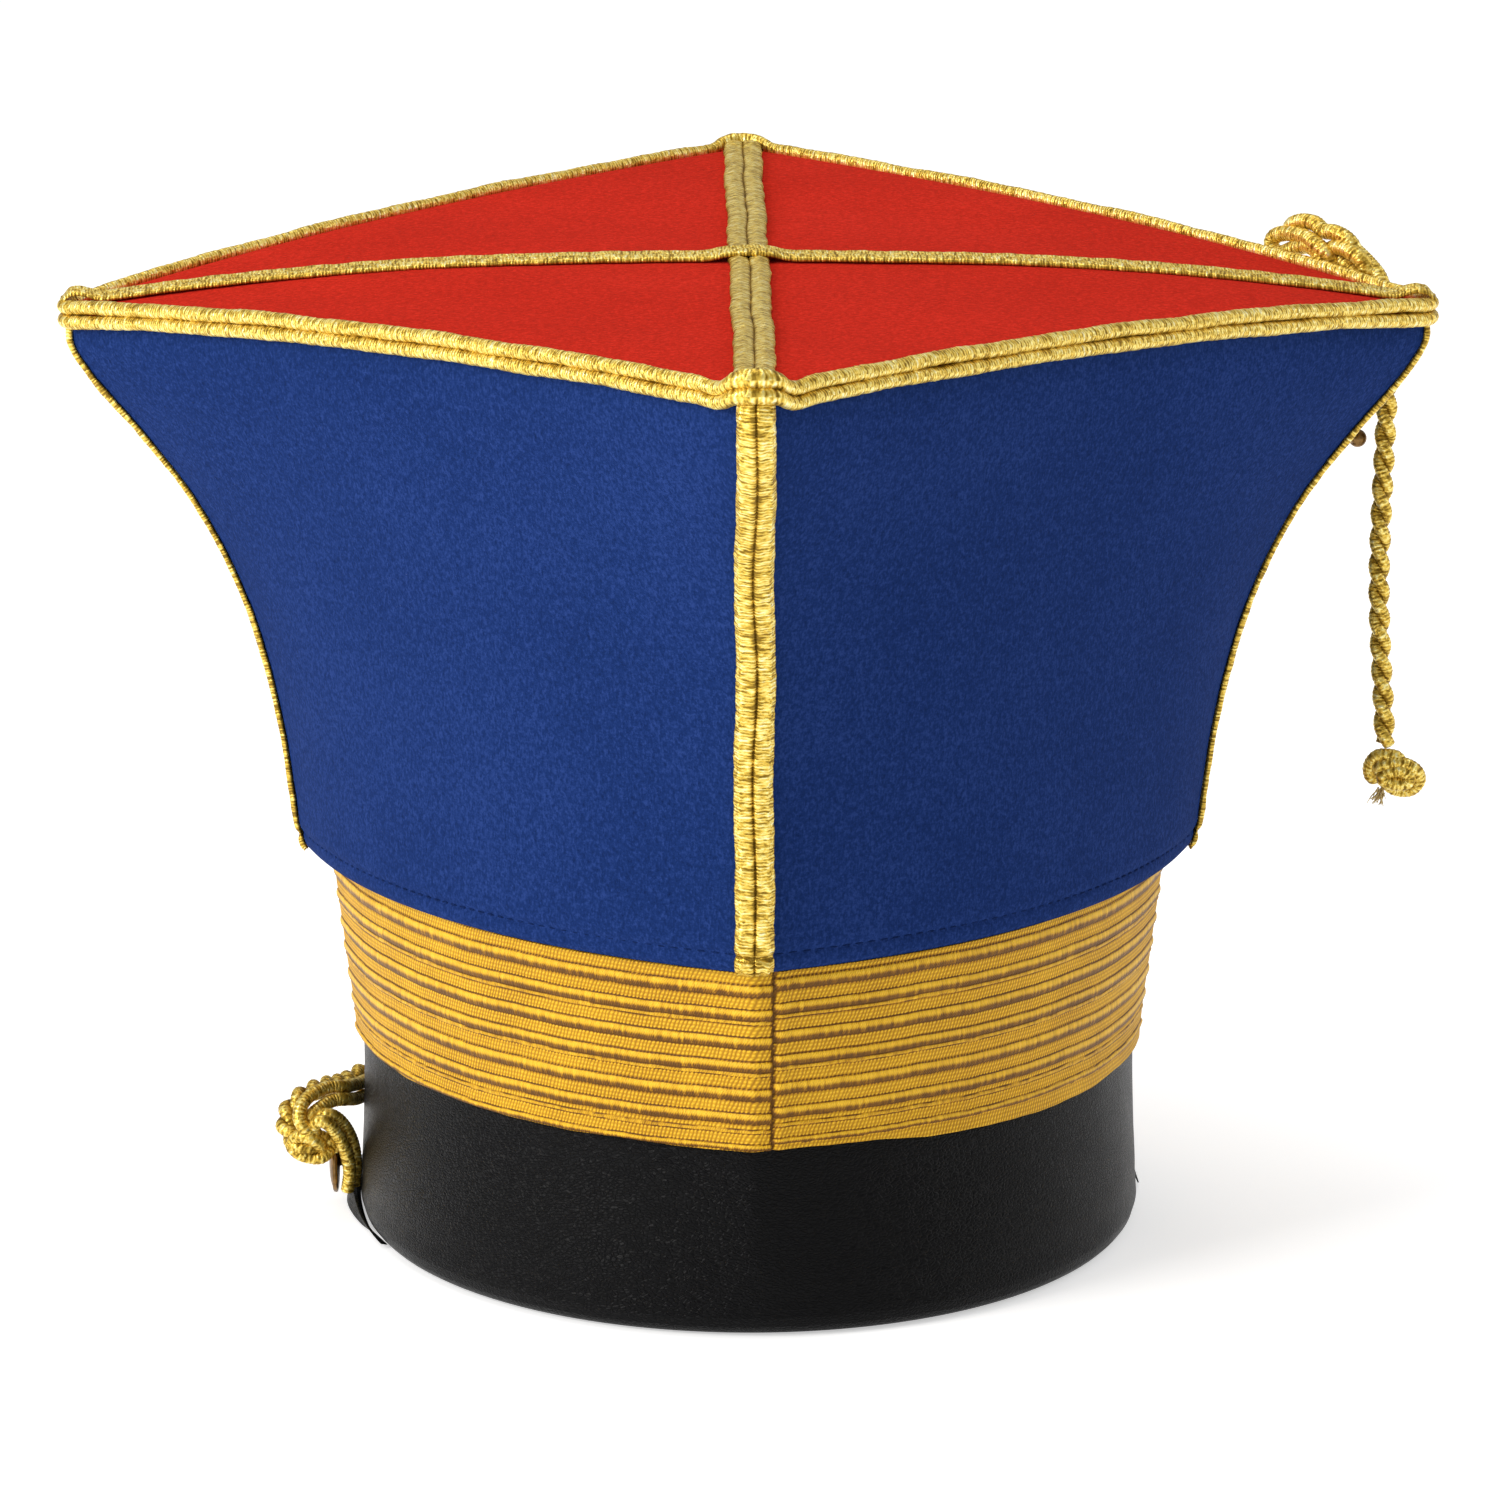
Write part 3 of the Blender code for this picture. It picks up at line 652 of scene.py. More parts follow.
def wool(name, base, light, dark, fibre):
    """Milled wool cloth: a soft mottle, short raised fibres in two directions, and a dull sheen."""
    material, tree, shader = start_material(
        name, Roughness=0.95, Sheen_Weight=0.012, Sheen_Roughness=0.5, Specular_IOR_Level=0.025
    )
    where = object_place(tree)
    mottle = noise(tree, where, 820.0, 3.0, 0.7)
    fibres = drawn_noise(tree, where, (fibre, fibre, fibre * 0.45), 3.0, 0.65)
    across = drawn_noise(tree, where, (fibre * 0.5, fibre * 0.9, fibre), 3.0, 0.65)
    broad = noise(tree, where, 22.0, 2.0)
    level = weighted(tree, 0.0, (fibres, 0.55), (mottle, 0.55), (across, 0.45), (broad, 0.16))
    height = weighted(tree, 0.0, (mottle, 0.6), (fibres, 0.5), (across, 0.4))
    dress(tree, shader, ramp(tree, level, ((0.58, dark), (0.84, base), (1.0, light))), height, 0.35, 0.7)
    return material


def lighter(colour, share, white):
    """A colour made stronger by a share, with a little white over it."""
    return tuple(min(1.0, share * part + white) for part in colour[:3])


def blue_wool(name):
    blue = colour_of("blue_cloth")
    return wool(name, blue, lighter(blue, 1.45, 0.006), darker(blue, 0.58), 2000.0)


def hem_thread(name):
    blue = colour_of("blue_cloth")
    return wool(name, darker(blue, 0.62), blue, darker(blue, 0.35), 2500.0)


def red_wool(name):
    red = colour_of("red_cloth")
    return wool(name, red, lighter(red, 1.32, 0.005), darker(red, 0.66), 1500.0)


def grained_leather(name):
    """Black leather: flattened pebbles of a fine grain with creases between them, and an uneven polish."""
    black = colour_of("leather")
    material, tree, shader = start_material(name, Specular_IOR_Level=0.075)
    where = object_place(tree)
    bend = node(tree, "TexNoise", {"Vector": where, "Scale": 240.0, "Detail": 2.0}).outputs["Color"]
    shift = (0.0016, 0.0016, 0.0016)
    bent = node(tree, "VectorMath", {0: bend, 1: shift, 2: where}, operation="MULTIPLY_ADD").outputs[0]
    flat = scaled(tree, bent, (1.0, 1.0, 2.1))
    creases = node(tree, "TexVoronoi", {"Vector": flat, "Scale": 800.0}, feature="DISTANCE_TO_EDGE")
    crease = node(tree, "MapRange", {"Value": creases.outputs["Distance"], "From Max": 0.22}).outputs[0]
    fine = noise(tree, where, 1500.0, 3.0)
    polish = noise(tree, where, 38.0, 3.0)
    colour = ramp(tree, crease, ((0.0, darker(black, 0.5)), (1.0, black)))
    height = weighted(tree, 0.0, (fine, 0.45), (crease, 0.6))
    dress(tree, shader, colour, height, 0.18, 1.0, weighted(tree, 0.24, (polish, 0.22)))
    return material


def lace_silk(name):
    """Yellow lace. The rib mark is 1 on the satin ribs, which have fine threads across them and now and
    then a lighter stitch, and 0 on the flat rows, which have slanting bars in three lines. The hollow
    mark is 1 in the grooves, where the silk looks brown."""
    lace, light, shade_paint = map(colour_of, ("lace", "lace_light", "lace_shaded"))
    material, tree, shader = start_material(
        name, Sheen_Weight=0.02, Sheen_Roughness=0.35, Specular_IOR_Level=0.25
    )
    uv, u, v = surface_uv(tree)
    rib = mark_of(tree, "rib")
    drift = drawn_noise(tree, uv, (0.35, 0.3, 1))
    bars = sine_of(tree, weighted(tree, 0.0, (v, 0.42), (u, 1 / 0.95), (drift, 1.2)))
    lines = sine_of(tree, calc(tree, "MULTIPLY", v, 1 / 0.86))
    weave = calc(tree, "MULTIPLY", weighted(tree, 0.5, (bars, 0.5)), weighted(tree, 0.65, (lines, 0.35)))
    threads = sine_of(tree, weighted(tree, v, (drift, 2.0), (u, 1 / 0.55)))
    streak = spread(tree, drawn_noise(tree, uv, (1.1, 0.10, 1), 3.0, 0.7), 0.32, 0.68)
    stitch = calc(tree, "GREATER_THAN", drawn_noise(tree, uv, (0.9, 0.06, 1), 0.0), 0.64)
    satin = weighted(tree, 0.53, (streak, 0.36), (threads, 0.07), (stitch, 0.12))
    level = chosen(tree, rib, satin, weighted(tree, 0.34, (weave, 0.50)))
    patch = drawn_noise(tree, uv, (0.05, 0.05, 1))
    level = calc(tree, "SUBTRACT", level, 0.10)
    # Painted shade: the painted-shade mark darkens the silk towards brown.
    level = weighted(tree, level, (mark_of(tree, "hollow"), -0.70), (patch, 0.25))
    # The ramp runs from painted shade through the lace colour to its lit colour.
    colour = ramp(tree, level, ((0.06, darker(shade_paint, 0.5)), (0.26, shade_paint), (0.50, lace), (0.85, light)))
    relief = chosen(tree, rib, weighted(tree, streak, (threads, 0.25)), weave)
    dress(tree, shader, colour, relief, 0.24, 0.7, weighted(tree, 0.60, (rib, -0.16)))
    return material


def worn_brass(name):
    """Bronzed brass with a worn warm edge here and there."""
    brass = colour_of("brass")
    material, tree, shader = start_material(name, Metallic=1.0)
    wear = noise(tree, object_place(tree), 420.0, 4.0)
    colour = ramp(tree, wear, ((0.35, darker(brass, 0.45)), (0.6, brass), (0.8, paler(brass, 0.12))))
    dress(tree, shader, colour, wear, 0.05, 0.5, weighted(tree, 0.22, (wear, 0.25)))
    return material


def loose_fibre(name):
    """Pale cotton ends of a cut cord."""
    material, tree, shader = start_material(name, Roughness=0.9, Sheen_Weight=0.3)
    where = object_place(tree)
    stops = ((0.35, (0.42, 0.30, 0.10)), (0.7, (0.78, 0.62, 0.30)))
    dress(tree, shader, ramp(tree, noise(tree, where, 700.0), stops), noise(tree, where, 2500.0), 0.1, 0.6)
    return material


# Pieces


def make_leather_base():
    """Oval tube: its outside, the rolled lower edge and its inside, once round for each turn."""
    columns, rows_out, rows_in = 360, 44, 16
    turn = np.linspace(0, 4, columns, endpoint=False)[:, None]
    outside = np.concatenate([[0.0, 0.35, 0.9], np.linspace(1.8, LEATHER_TOP, rows_out)])
    roll = np.array([-0.9, -0.35, -0.08])
    up = leather_point(turn, outside[None, :], np.concatenate([roll, np.zeros(rows_out)])[None, :] * 0.6)
    inside = np.concatenate([np.linspace(LEATHER_TOP, 1.2, rows_in), [0.3, 0.0]])
    down = leather_point(turn, inside[None, :], np.r_[np.full(rows_in, -LEATHER_WALL), -2.7, -2.0][None, :])
    sections = np.concatenate([up, down], axis=1)
    girth_mm, profile_mm = 610, 200
    around = np.linspace(0, girth_mm, columns + 1)[:, None]
    uv = uv_of(around, np.linspace(0, profile_mm, sections.shape[1] + 1)[None, :])
    loop_body("headband_leather", sections, uv, once(grained_leather), ("leather_base",))


LACE_FIELD = (("flat", 2.6), ("rib", 2.7), ("flat", 2.6), ("rib", 2.5), ("line", 0.9))
LACE_HEM = (("flat", 1.1), ("line", 0.9), ("flat", 2.3), ("rib", 1.4))
LACE_ROWS = (*LACE_FIELD, *LACE_FIELD, *LACE_FIELD[:4], *LACE_HEM)
LACE_RISE = {"flat": 0.10, "rib": 0.48, "line": 0.30}
LACE_STRETCH = (LACE_TOP - LACE_BOTTOM) / sum(height for _, height in LACE_ROWS)
LACE_SEAM_TURN = 3.0 + 0.0245
LACE_SEAM_SLIP = 1.3
LACE_PROFILE_ROWS = 174


def lace_pattern(down):
    """Rise, rib mark and hollow mark at a distance below the top edge: half waves over ribs and lines,
    with a groove where each of them meets its neighbour."""
    rise, rib, hollow = np.zeros_like(down), np.zeros_like(down), np.zeros_like(down)
    place = 0.0
    for kind, height in LACE_ROWS:
        height = height * LACE_STRETCH
        share = (down - place) / height
        inside = (share >= 0) & (share < 1)
        arch = np.sin(np.pi * np.clip(share, 0, 1))
        power = 0.35 if kind == "flat" else 0.6
        rise = np.where(inside, LACE_RISE[kind] * np.maximum(arch, 0) ** power, rise)
        if kind != "flat":
            rib = np.where(inside, ease(arch * 3.0), rib)
            # Painted shade on the lower half of each rib, as if lit from above.
            lower = ease((share - 0.32) / 0.42) if kind == "rib" else 0.3
            hollow = np.where(inside, np.clip(0.85 * lower + (1 - ease(arch * 2.2)), 0, 1), hollow)
        else:
            # Painted shade at the edges of the flat rows, in the grooves.
            hollow = np.where(inside, 0.55 * (1 - ease(arch * 3.0)), hollow)
        place += height
    return rise, rib, hollow


def make_lace_band():
    """A band that lies GAP off the leather. Its outside stands LACE_CLOTH plus the row pattern's rise off
    it; at the back the two ends butt at a seam, and the pattern slips there."""
    seam = LACE_SEAM_TURN
    beside = np.array([0.001, 0.0025, 0.005, 0.008, 0.012, 0.018, 0.03, 0.05])
    close = seam + np.concatenate([-beside[::-1], beside])
    turn = np.unique(np.concatenate([np.linspace(0, 4, 400, endpoint=False), close]))[:, None]
    away = (turn - seam + 2) % 4 - 2
    right = np.where(away > 0, 1.0, 0.0)
    slip = LACE_SEAM_SLIP * right * (1 - ease(away / 1.6))
    side_mm = away * QUARTER_MM
    turn_mm = turn * QUARTER_MM
    share = np.linspace(0, 1, LACE_PROFILE_ROWS)[None, :]
    low = LACE_BOTTOM - 2.2 * right * ease((away - 0.06) / 0.4) * (1 - ease((away - 0.9) / 0.8))
    low = low + 0.22 * ripple(turn_mm, 5, 60)
    height = LACE_TOP - (LACE_TOP - low) * share
    down = (LACE_TOP - height) + slip + 0.12 * ripple(turn_mm, 8, 45)
    rise, rib, hollow = lace_pattern(down)
    lumps = 1 + 0.05 * ripple(turn_mm + down * 7, 11, 3.4) * rib
    valley = 0.55 * hump(side_mm - 0.2, 0.5) - 0.42 * hump(side_mm - 2.0, 1.3)
    off = GAP + LACE_CLOTH + rise * lumps - valley
    outside = leather_point(turn, height)
    tangent = unit(np.roll(outside, -1, 0) - np.roll(outside, 1, 0))
    normal = unit(np.cross(tangent, (0, 0, 1.0)))
    outside = outside + normal * off[..., None]
    # Painted shade in the groove of the back seam.
    hollow = np.clip(hollow + 0.8 * hump(side_mm, 0.45), 0, 1)
    half = LACE_PROFILE_ROWS // 2
    lower = leather_point(turn, low) + normal[:, -1:] * GAP
    upper = leather_point(turn, np.full_like(low, LACE_TOP)) + normal[:, :1] * GAP
    middle = leather_point(turn, (low + LACE_TOP) / 2) + normal[:, half : half + 1] * GAP
    sections = np.concatenate([outside, lower, middle, upper], axis=1)
    around = np.append(turn_mm, 4 * QUARTER_MM + turn_mm[0])[:, None]
    v = np.concatenate([down, np.repeat(down[:, -1:], 4, 1)], axis=1)
    v = np.concatenate([v, v[:1]])
    blank = np.zeros((len(turn), 3))
    marks = {"rib": np.concatenate([rib, blank], 1), "hollow": np.concatenate([hollow, blank], 1)}
    uv = uv_of(around, v)
    loop_body("lace_of_ribs", sections, uv, once(lace_silk), ("lace_band",), marks)


PANEL_SPAN = 166.0
HEM_LINE = 4.0
SIDE_HEIGHT = 128.0
STITCHES_PER_SIDE = 48
STITCH_HALF_TURN = 0.0066
STITCH_RADIUS = 0.21
STITCH_DEPTH = 0.26
QUARTERS = ("front_right", "front_left", "back_left", "back_right")


def make_cloth_panels():
    """Four cloth sides on panel_surface. The seam allowance shows as a soft swell over the hem's sewn line,
    the faces are a little uneven, and the hem turns in below."""
    material = once(blue_wool)
    share = np.linspace(0, 1, 72)
    edge = 0.5 * GAP / CROWN_REACH
    rows = np.unique(np.concatenate([np.linspace(0, 1, 70), np.linspace(0, 0.07, 22)]))
    for quarter, name in enumerate(QUARTERS):
        turn = (quarter + np.clip(share, edge, 1 - edge))[None, :]
        outer = panel_surface(turn, rows[:, None])
        inner = panel_surface(turn, rows[:, None], BODY_WALL)
        inner[0] = leather_point(turn[0], BODY_BOTTOM, HEM_CLEARANCE)
        out = unit(outer - inner + 1e-6)
        out[0] = out[1]
        out = unit(out * (1, 1, 0.25))
        above = outer[..., 2] - outer[:1, :, 2]
        inside = ease(share / 0.08)[None, :] * ease((1 - share) / 0.08)[None, :] * ease(above / 10)
        wave = 0.35 * ripple(share[None, :] * 150 + above * 0.4, 20 + quarter, 110, 2) * inside
        sewn = -0.30 * hump(above - HEM_LINE, 0.55) + 0.16 * hump(above - HEM_LINE - 2.2, 1.4)
        sewn = sewn + 0.14 * hump(above - HEM_LINE + 2.0, 1.2)
        roll = -0.5 * hump(above, 0.5)
        outer = outer + out * (wave + sewn + roll)[..., None]
        uv = uv_of(share[None, :] * PANEL_SPAN, above)
        sheet_body("cloth_" + name, outer, inner, uv, material, ("panel_" + name,))
    make_hem_stitches()


def make_hem_stitches():
    """Short sewn stitches in the hem's line: small six-sided beads, one grid for all of them."""
    middles = (np.arange(4)[:, None] + np.linspace(0.035, 0.965, STITCHES_PER_SIDE)).ravel()
    share = HEM_LINE / SIDE_HEIGHT
    a, b = (panel_surface(middles + end * STITCH_HALF_TURN, share) for end in (-1, 1))
    along = unit(b - a)
    out = unit(np.cross(along, (0, 0, 1.0)))
    up = np.cross(out, along)
    t = np.array([0.0, 0.08, 0.3, 0.7, 0.92, 1.0])[None, :, None, None]
    girth = np.array([0.04, 0.6, 1.0, 1.0, 0.6, 0.04])[None, :, None, None]
    angle = full_turn(6)[None, None, :, None]
    a, b, out, up = (part[:, None, None] for part in (a, b, out, up))
    axis = a * (1 - t) + b * t - out * STITCH_DEPTH
    rings = axis + STITCH_RADIUS * girth * (out * np.cos(angle) + up * np.sin(angle))
    count, rows, sides = rings.shape[:3]
    faces, _ = grid_faces(rows, sides, False, True)
    ends_a = np.array([[0, 5, 4, 1], [1, 4, 3, 2]])
    ends_b = (ends_a + (rows - 1) * sides)[:, ::-1]
    one = np.concatenate([faces, ends_a, ends_b])
    all_faces = (one[None] + (np.arange(count) * rows * sides)[:, None, None]).reshape(-1, 4)
    body = Body()
    body.add(rings.reshape(-1, 3), all_faces, np.zeros((len(all_faces), 4, 2)))
    body.finish("hem_stitches", once(hem_thread))


def make_crown():
    """Four red quarters: rays from the middle to the edge, at the crown's height, slightly padded. The
    edge runs CROWN_TUCK past the crown's own, under the rim cord."""
    material = once(red_wool)
    edge_bulge = (CROWN_SHARP_REACH - CROWN_REACH) / np.sqrt(2) + CROWN_TUCK
    near = np.array([0.0, 0.003, 0.006, 0.01, 0.015, 0.022, 0.03, 0.042])
    t = np.concatenate([near, np.linspace(0.06, 0.94, 44), 1 - near[::-1]])[None, :]
    ring = np.concatenate([[0.02], np.linspace(0.04, 0.985, 44), [0.995, 1.0]])[:, None]
    for quarter, name in enumerate(QUARTERS):
        x, y = bowed_plan(quarter + t, CROWN_REACH, CROWN_REACH, edge_bulge, power=60.0)
        x, y = x * ring, y * ring
        seam = 0.5 * GAP
        sign_x, sign_y = ((1, 1), (-1, 1), (-1, -1), (1, -1))[quarter]
        x = sign_x * np.maximum(seam, np.abs(x))
        y = sign_y * np.maximum(seam, np.abs(y))
        z = crown_height(x)
        near_edge = ease((1 - ring) / 0.03)
        roll = -0.55 * (1 - near_edge)
        soft = 0.25 * ripple(x * 0.6 + y * 0.9, 31 + quarter, 120, 2) * near_edge * ease(ring / 0.2)
        top = xyz(x, y, z + roll + soft)
        bottom = xyz(x, y, z - CROWN_WALL)
        sheet_body("crown_cloth_" + name, top, bottom, uv_of(x, y), material, ("crown_" + name,))


def braid_profile(half_width, height, steps=17):
    """Across and up of a double braid: two half-round lobes with fine ridges, a narrow valley between them
    and a flat underside. Also the across distance for the UV map, and a mark that is strong in the valley
    and weaker at the borders."""
    angle = np.linspace(0, np.pi, steps)
    lobe = 0.5 * half_width * (1 - np.cos(angle))
    ridge = 1 + 0.06 * np.cos(4 * np.pi * lobe / half_width)
    up = np.hypot(np.sin(angle) ** 0.75, 0.30 * (1 - lobe / half_width)) * ridge
    across = np.concatenate([-lobe[::-1], lobe[1:], np.linspace(half_width, -half_width, 7)[1:-1]])
    up = height * np.concatenate([up[::-1], up[1:], np.zeros(5)])
    # Painted shade in the valley between the lobes and along the borders.
    valley = 0.9 * hump(across, 0.08 * half_width)
    border_shade = 0.5 * hump(np.abs(across) - half_width, 0.09 * half_width)
    return across, up, np.append(across + half_width, 0.0), np.maximum(valley, border_shade)


def braid_edges(along, seed):
    """How the braid's width, height and line vary along it, as shares and millimetres."""
    width = 1 + 0.035 * ripple(along, seed, 17) + 0.02 * ripple(along, seed + 1, 2.6)
    height = 1 + 0.07 * ripple(along, seed + 2, 13)
    wander = 0.28 * ripple(along, seed + 3, 70, 2)
    return width, height, wander


def make_seam_braids():
    """Double braid bent over each corner seam: across it runs along the one cloth face, round the corner
    and along the other, and up it stands off them. The side seams' braid is flatter and lies mostly on the
    front faces. A sewn line ties the lower ends down."""
    material = once(braid_gold)
    share = np.linspace(0.0, SEAM_BRAID_TOP, 380)
    side = 0.035
    kinds = (
        ("right", SIDE_BRAID_HEIGHT, SIDE_BRAID_SHIFT), ("front", BRAID_HEIGHT, 0.0),
        ("left", SIDE_BRAID_HEIGHT, -SIDE_BRAID_SHIFT), ("back", BRAID_HEIGHT, 0.0),
    )
    for quarter, (name, stand, shift) in enumerate(kinds):
        across, up, girth, shade_paint = braid_profile(0.94 * BRAID_HALF_WIDTH, stand)
        corner = panel_surface(np.full_like(share, quarter + 4.0), share)
        after = panel_surface(quarter + 4 + side, share)
        before = panel_surface(quarter + 4 - side, share)
        along = unit(np.gradient(corner, axis=0))
        run = arc_length(corner)
        ways = []
        for neighbour, sign in ((after, 1), (before, -1)):
            way = square_to(neighbour - corner, along)
            ways.append((way, sign * np.cross(way, along)))
        (way_a, normal_a), (way_b, normal_b) = ways
        width, height, wander = braid_edges(run, 40 + quarter)
        tie = hump(run - HEM_LINE, 0.8)
        foot = 1 - 0.55 * hump(run, 0.8)
        width = width * (1 - 0.05 * tie)
        height = height * (1 - 0.62 * tie) * foot
        place = across[None, :] * width[:, None] + wander[:, None] + shift
        bend = 0.4
        reach_a = (place + np.sqrt(place**2 + bend**2)) / 2
        reach_b = (-place + np.sqrt(place**2 + bend**2)) / 2
        turn = ease((place + 1.6) / 3.2)[..., None]
        normal = unit(normal_a[:, None] * turn + normal_b[:, None] * (1 - turn))
        rise = GAP + 0.25 * hump(place, 0.8) + up[None, :] * height[:, None]
        rings = corner[:, None] + way_a[:, None] * reach_a[..., None] + way_b[:, None] * reach_b[..., None]
        rings = rings + normal * rise[..., None]
        rings[..., 2] += (0.35 * ripple(across, 60 + quarter, 3.0))[None, :] * hump(run, 2.0)[:, None]
        uv = uv_of(run[:, None], girth[None, :])
        # Painted shade in the braid's valley and borders, and where the sewn line pinches it down.
        hollow = np.maximum(np.broadcast_to(shade_paint, place.shape), 0.8 * tie[:, None])
        tube_piece("braid_seam_" + name, rings, uv, material, "gold_braid", ("seam_braid_" + name,),
                   {"hollow": hollow})


BRAID_CROSS_RISE = 1.2
TOP_BRAID_REACH = 145.6
WRAP_REACH = 148.6
WRAP_RISE = 2.0


def make_top_braids():
    """Double braid over the crown. The left-right one is whole: it climbs over the other in the middle, and
    at its ends it climbs over the rim cord and turns down."""
    material = once(braid_gold)
    across, up, girth, shade_paint = braid_profile(BRAID_HALF_WIDTH, TOP_BRAID_HEIGHT)
    runs = (
        ("wide", (1.0, 0.0), -WRAP_REACH, WRAP_REACH, 660),
        ("back", (0.0, -1.0), 1.0, TOP_BRAID_REACH, 340),
        ("front", (0.0, 1.0), 1.0, TOP_BRAID_REACH, 340),
    )
    for number, (name, way, start, end, steps) in enumerate(runs):
        along = np.linspace(start, end, steps)
        way = np.array(way)
        square = np.array([-way[1], way[0]])
        width, height, wander = braid_edges(along, 70 + 5 * number)
        tip = hump(np.minimum(along - start if name == "wide" else 1e3, end - along), 1.3)
        width, height = width * (1 - 0.16 * tip), height * (1 - 0.4 * tip)
        place = across[None, :] * width[:, None] + wander[:, None]
        x = along[:, None] * way[0] + place * square[0]
        y = along[:, None] * way[1] + place * square[1]
        if name == "wide":
            reach = np.abs(along)
            lift = BRAID_CROSS_RISE * hump(along, 7.0, 4.0) + WRAP_RISE * ease((reach - 139) / 6)
            lift = lift - 1.6 * ease((reach - WRAP_REACH + 2.4) / 2.4)
            width_out = 1 - 0.18 * ease((reach - 136) / 10)
            y = y * width_out[:, None]
        else:
            lift = 0.5 * ease((along - 138) / 5)
        z = crown_height(x) + GAP + lift[:, None] + up[None, :] * height[:, None]
        uv = uv_of(along[:, None], girth[None, :])
        # The braid carries the painted shade of its valley and borders.
        tube_piece("braid_top_" + name, xyz(x, y, z), uv, material, "gold_braid", ("top_braid_" + name,),
                   {"hollow": np.broadcast_to(shade_paint, x.shape)})


# Corner, rise of the upper and of the lower cord over it, and dip on either side
RIM_CORNERS = (
    ((CROWN_REACH, 0), (0.0, 0.0), 0.0),
    ((0, CROWN_REACH), (1.5, 0.5), 0.0),
    ((-CROWN_REACH, 0), (0.0, 0.0), 0.0),
    ((0, -CROWN_REACH), (2.2, 1.7), 0.7),
)
RIM_SIDES = 14


def rim_line():
    """Plan of the crown's edge with its rounded corners at even steps: x, y and the outward direction."""
    radius = CROWN_CORNER_RADIUS
    centre = CROWN_SHARP_REACH - np.sqrt(2) * radius
    parts, ways = [], []
    for quarter in range(4):
        ax, ay = corner_plan(np.array(quarter), centre, centre)
        bx, by = corner_plan(np.array(quarter + 1), centre, centre)
        angle = np.radians(np.linspace(90 * quarter - 45, 90 * quarter + 45, 28))
        parts.append(np.stack([ax + radius * np.cos(angle), ay + radius * np.sin(angle)], -1))
        ways.append(np.stack([np.cos(angle), np.sin(angle)], -1))
        out = np.array([np.cos(angle[-1]), np.sin(angle[-1])])
        t = np.linspace(0, 1, 372)[1:-1, None]
        a, b = np.array([ax, ay]) + radius * out, np.array([bx, by]) + radius * out
        parts.append(a + (b - a) * t)
        ways.append(np.broadcast_to(out, (len(t), 2)))
    return np.concatenate(parts), np.concatenate(ways)


def make_rim_cords():
    """Two thread-covered cords round the crown's edge. Both arch up at the front and back corners, over the
    ends of the two short top braids, and dip on either side of the back one. The hollow mark is on the
    sides that face each other."""
    material = once(braid_gold)
    plan, way = rim_line()
    run = arc_length(np.concatenate([plan, plan[:1]]))
    place = run[:-1]
    angle = full_turn(RIM_SIDES)[None, :]
    for number, (name, top) in enumerate((("upper", RIM_TOP), ("lower", RIM_TOP - RIM_CORD - GAP))):
        arch = np.zeros(len(plan))
        full = np.ones(len(plan))
        for corner, heights, dip in RIM_CORNERS:
            off = np.linalg.norm(plan - corner, axis=1)
            arch += heights[number] * hump(off, 4.9, 3.0) - dip * hump(off - 8.4, 3.4)
            full += 0.14 * heights[number] * hump(off, 5.4, 4.0)
        girth = 1 + 0.05 * ripple(place, 90 + number, 14) + 0.03 * ripple(place, 93 + number, 3)
        girth = girth * full
        half = 0.5 * RIM_CORD
        ridge = 1 + 0.05 * np.cos(angle * 3)
        out = GAP + half + 0.16 + half * 1.1 * girth[:, None] * np.cos(angle) * ridge
        up = top - half + half * 1.2 * girth[:, None] * np.sin(angle) * ridge + arch[:, None]
        up = up + (0.20 * ripple(place, 97 + number, 55, 2))[:, None]
        x = plan[:, :1] + way[:, :1] * out
        y = plan[:, 1:] + way[:, 1:] * out
        z = crown_height(plan[:, :1]) + up
        uv = uv_of(run[:, None], np.linspace(0, 8.6, RIM_SIDES + 1)[None, :])
        # Painted shade on the sides of the two cords that face each other.
        facing = hump(np.abs(np.sin(angle)) - 1, 0.10) * (np.sin(angle) * (-1 if number == 0 else 1) > 0)
        hollow = np.broadcast_to(0.30 * facing, (len(plan), RIM_SIDES))
        loop_body("rim_cord_" + name + "_thread", xyz(x, y, z), uv, material,
                  ("rim_cord_" + name,), {"hollow": hollow})


PEAK_REACH = 147.0
PEAK_HALF_WIDTH = 86.9
PEAK_ENDS = (0.06, 2.22)
PEAK_TAPER = 0.22


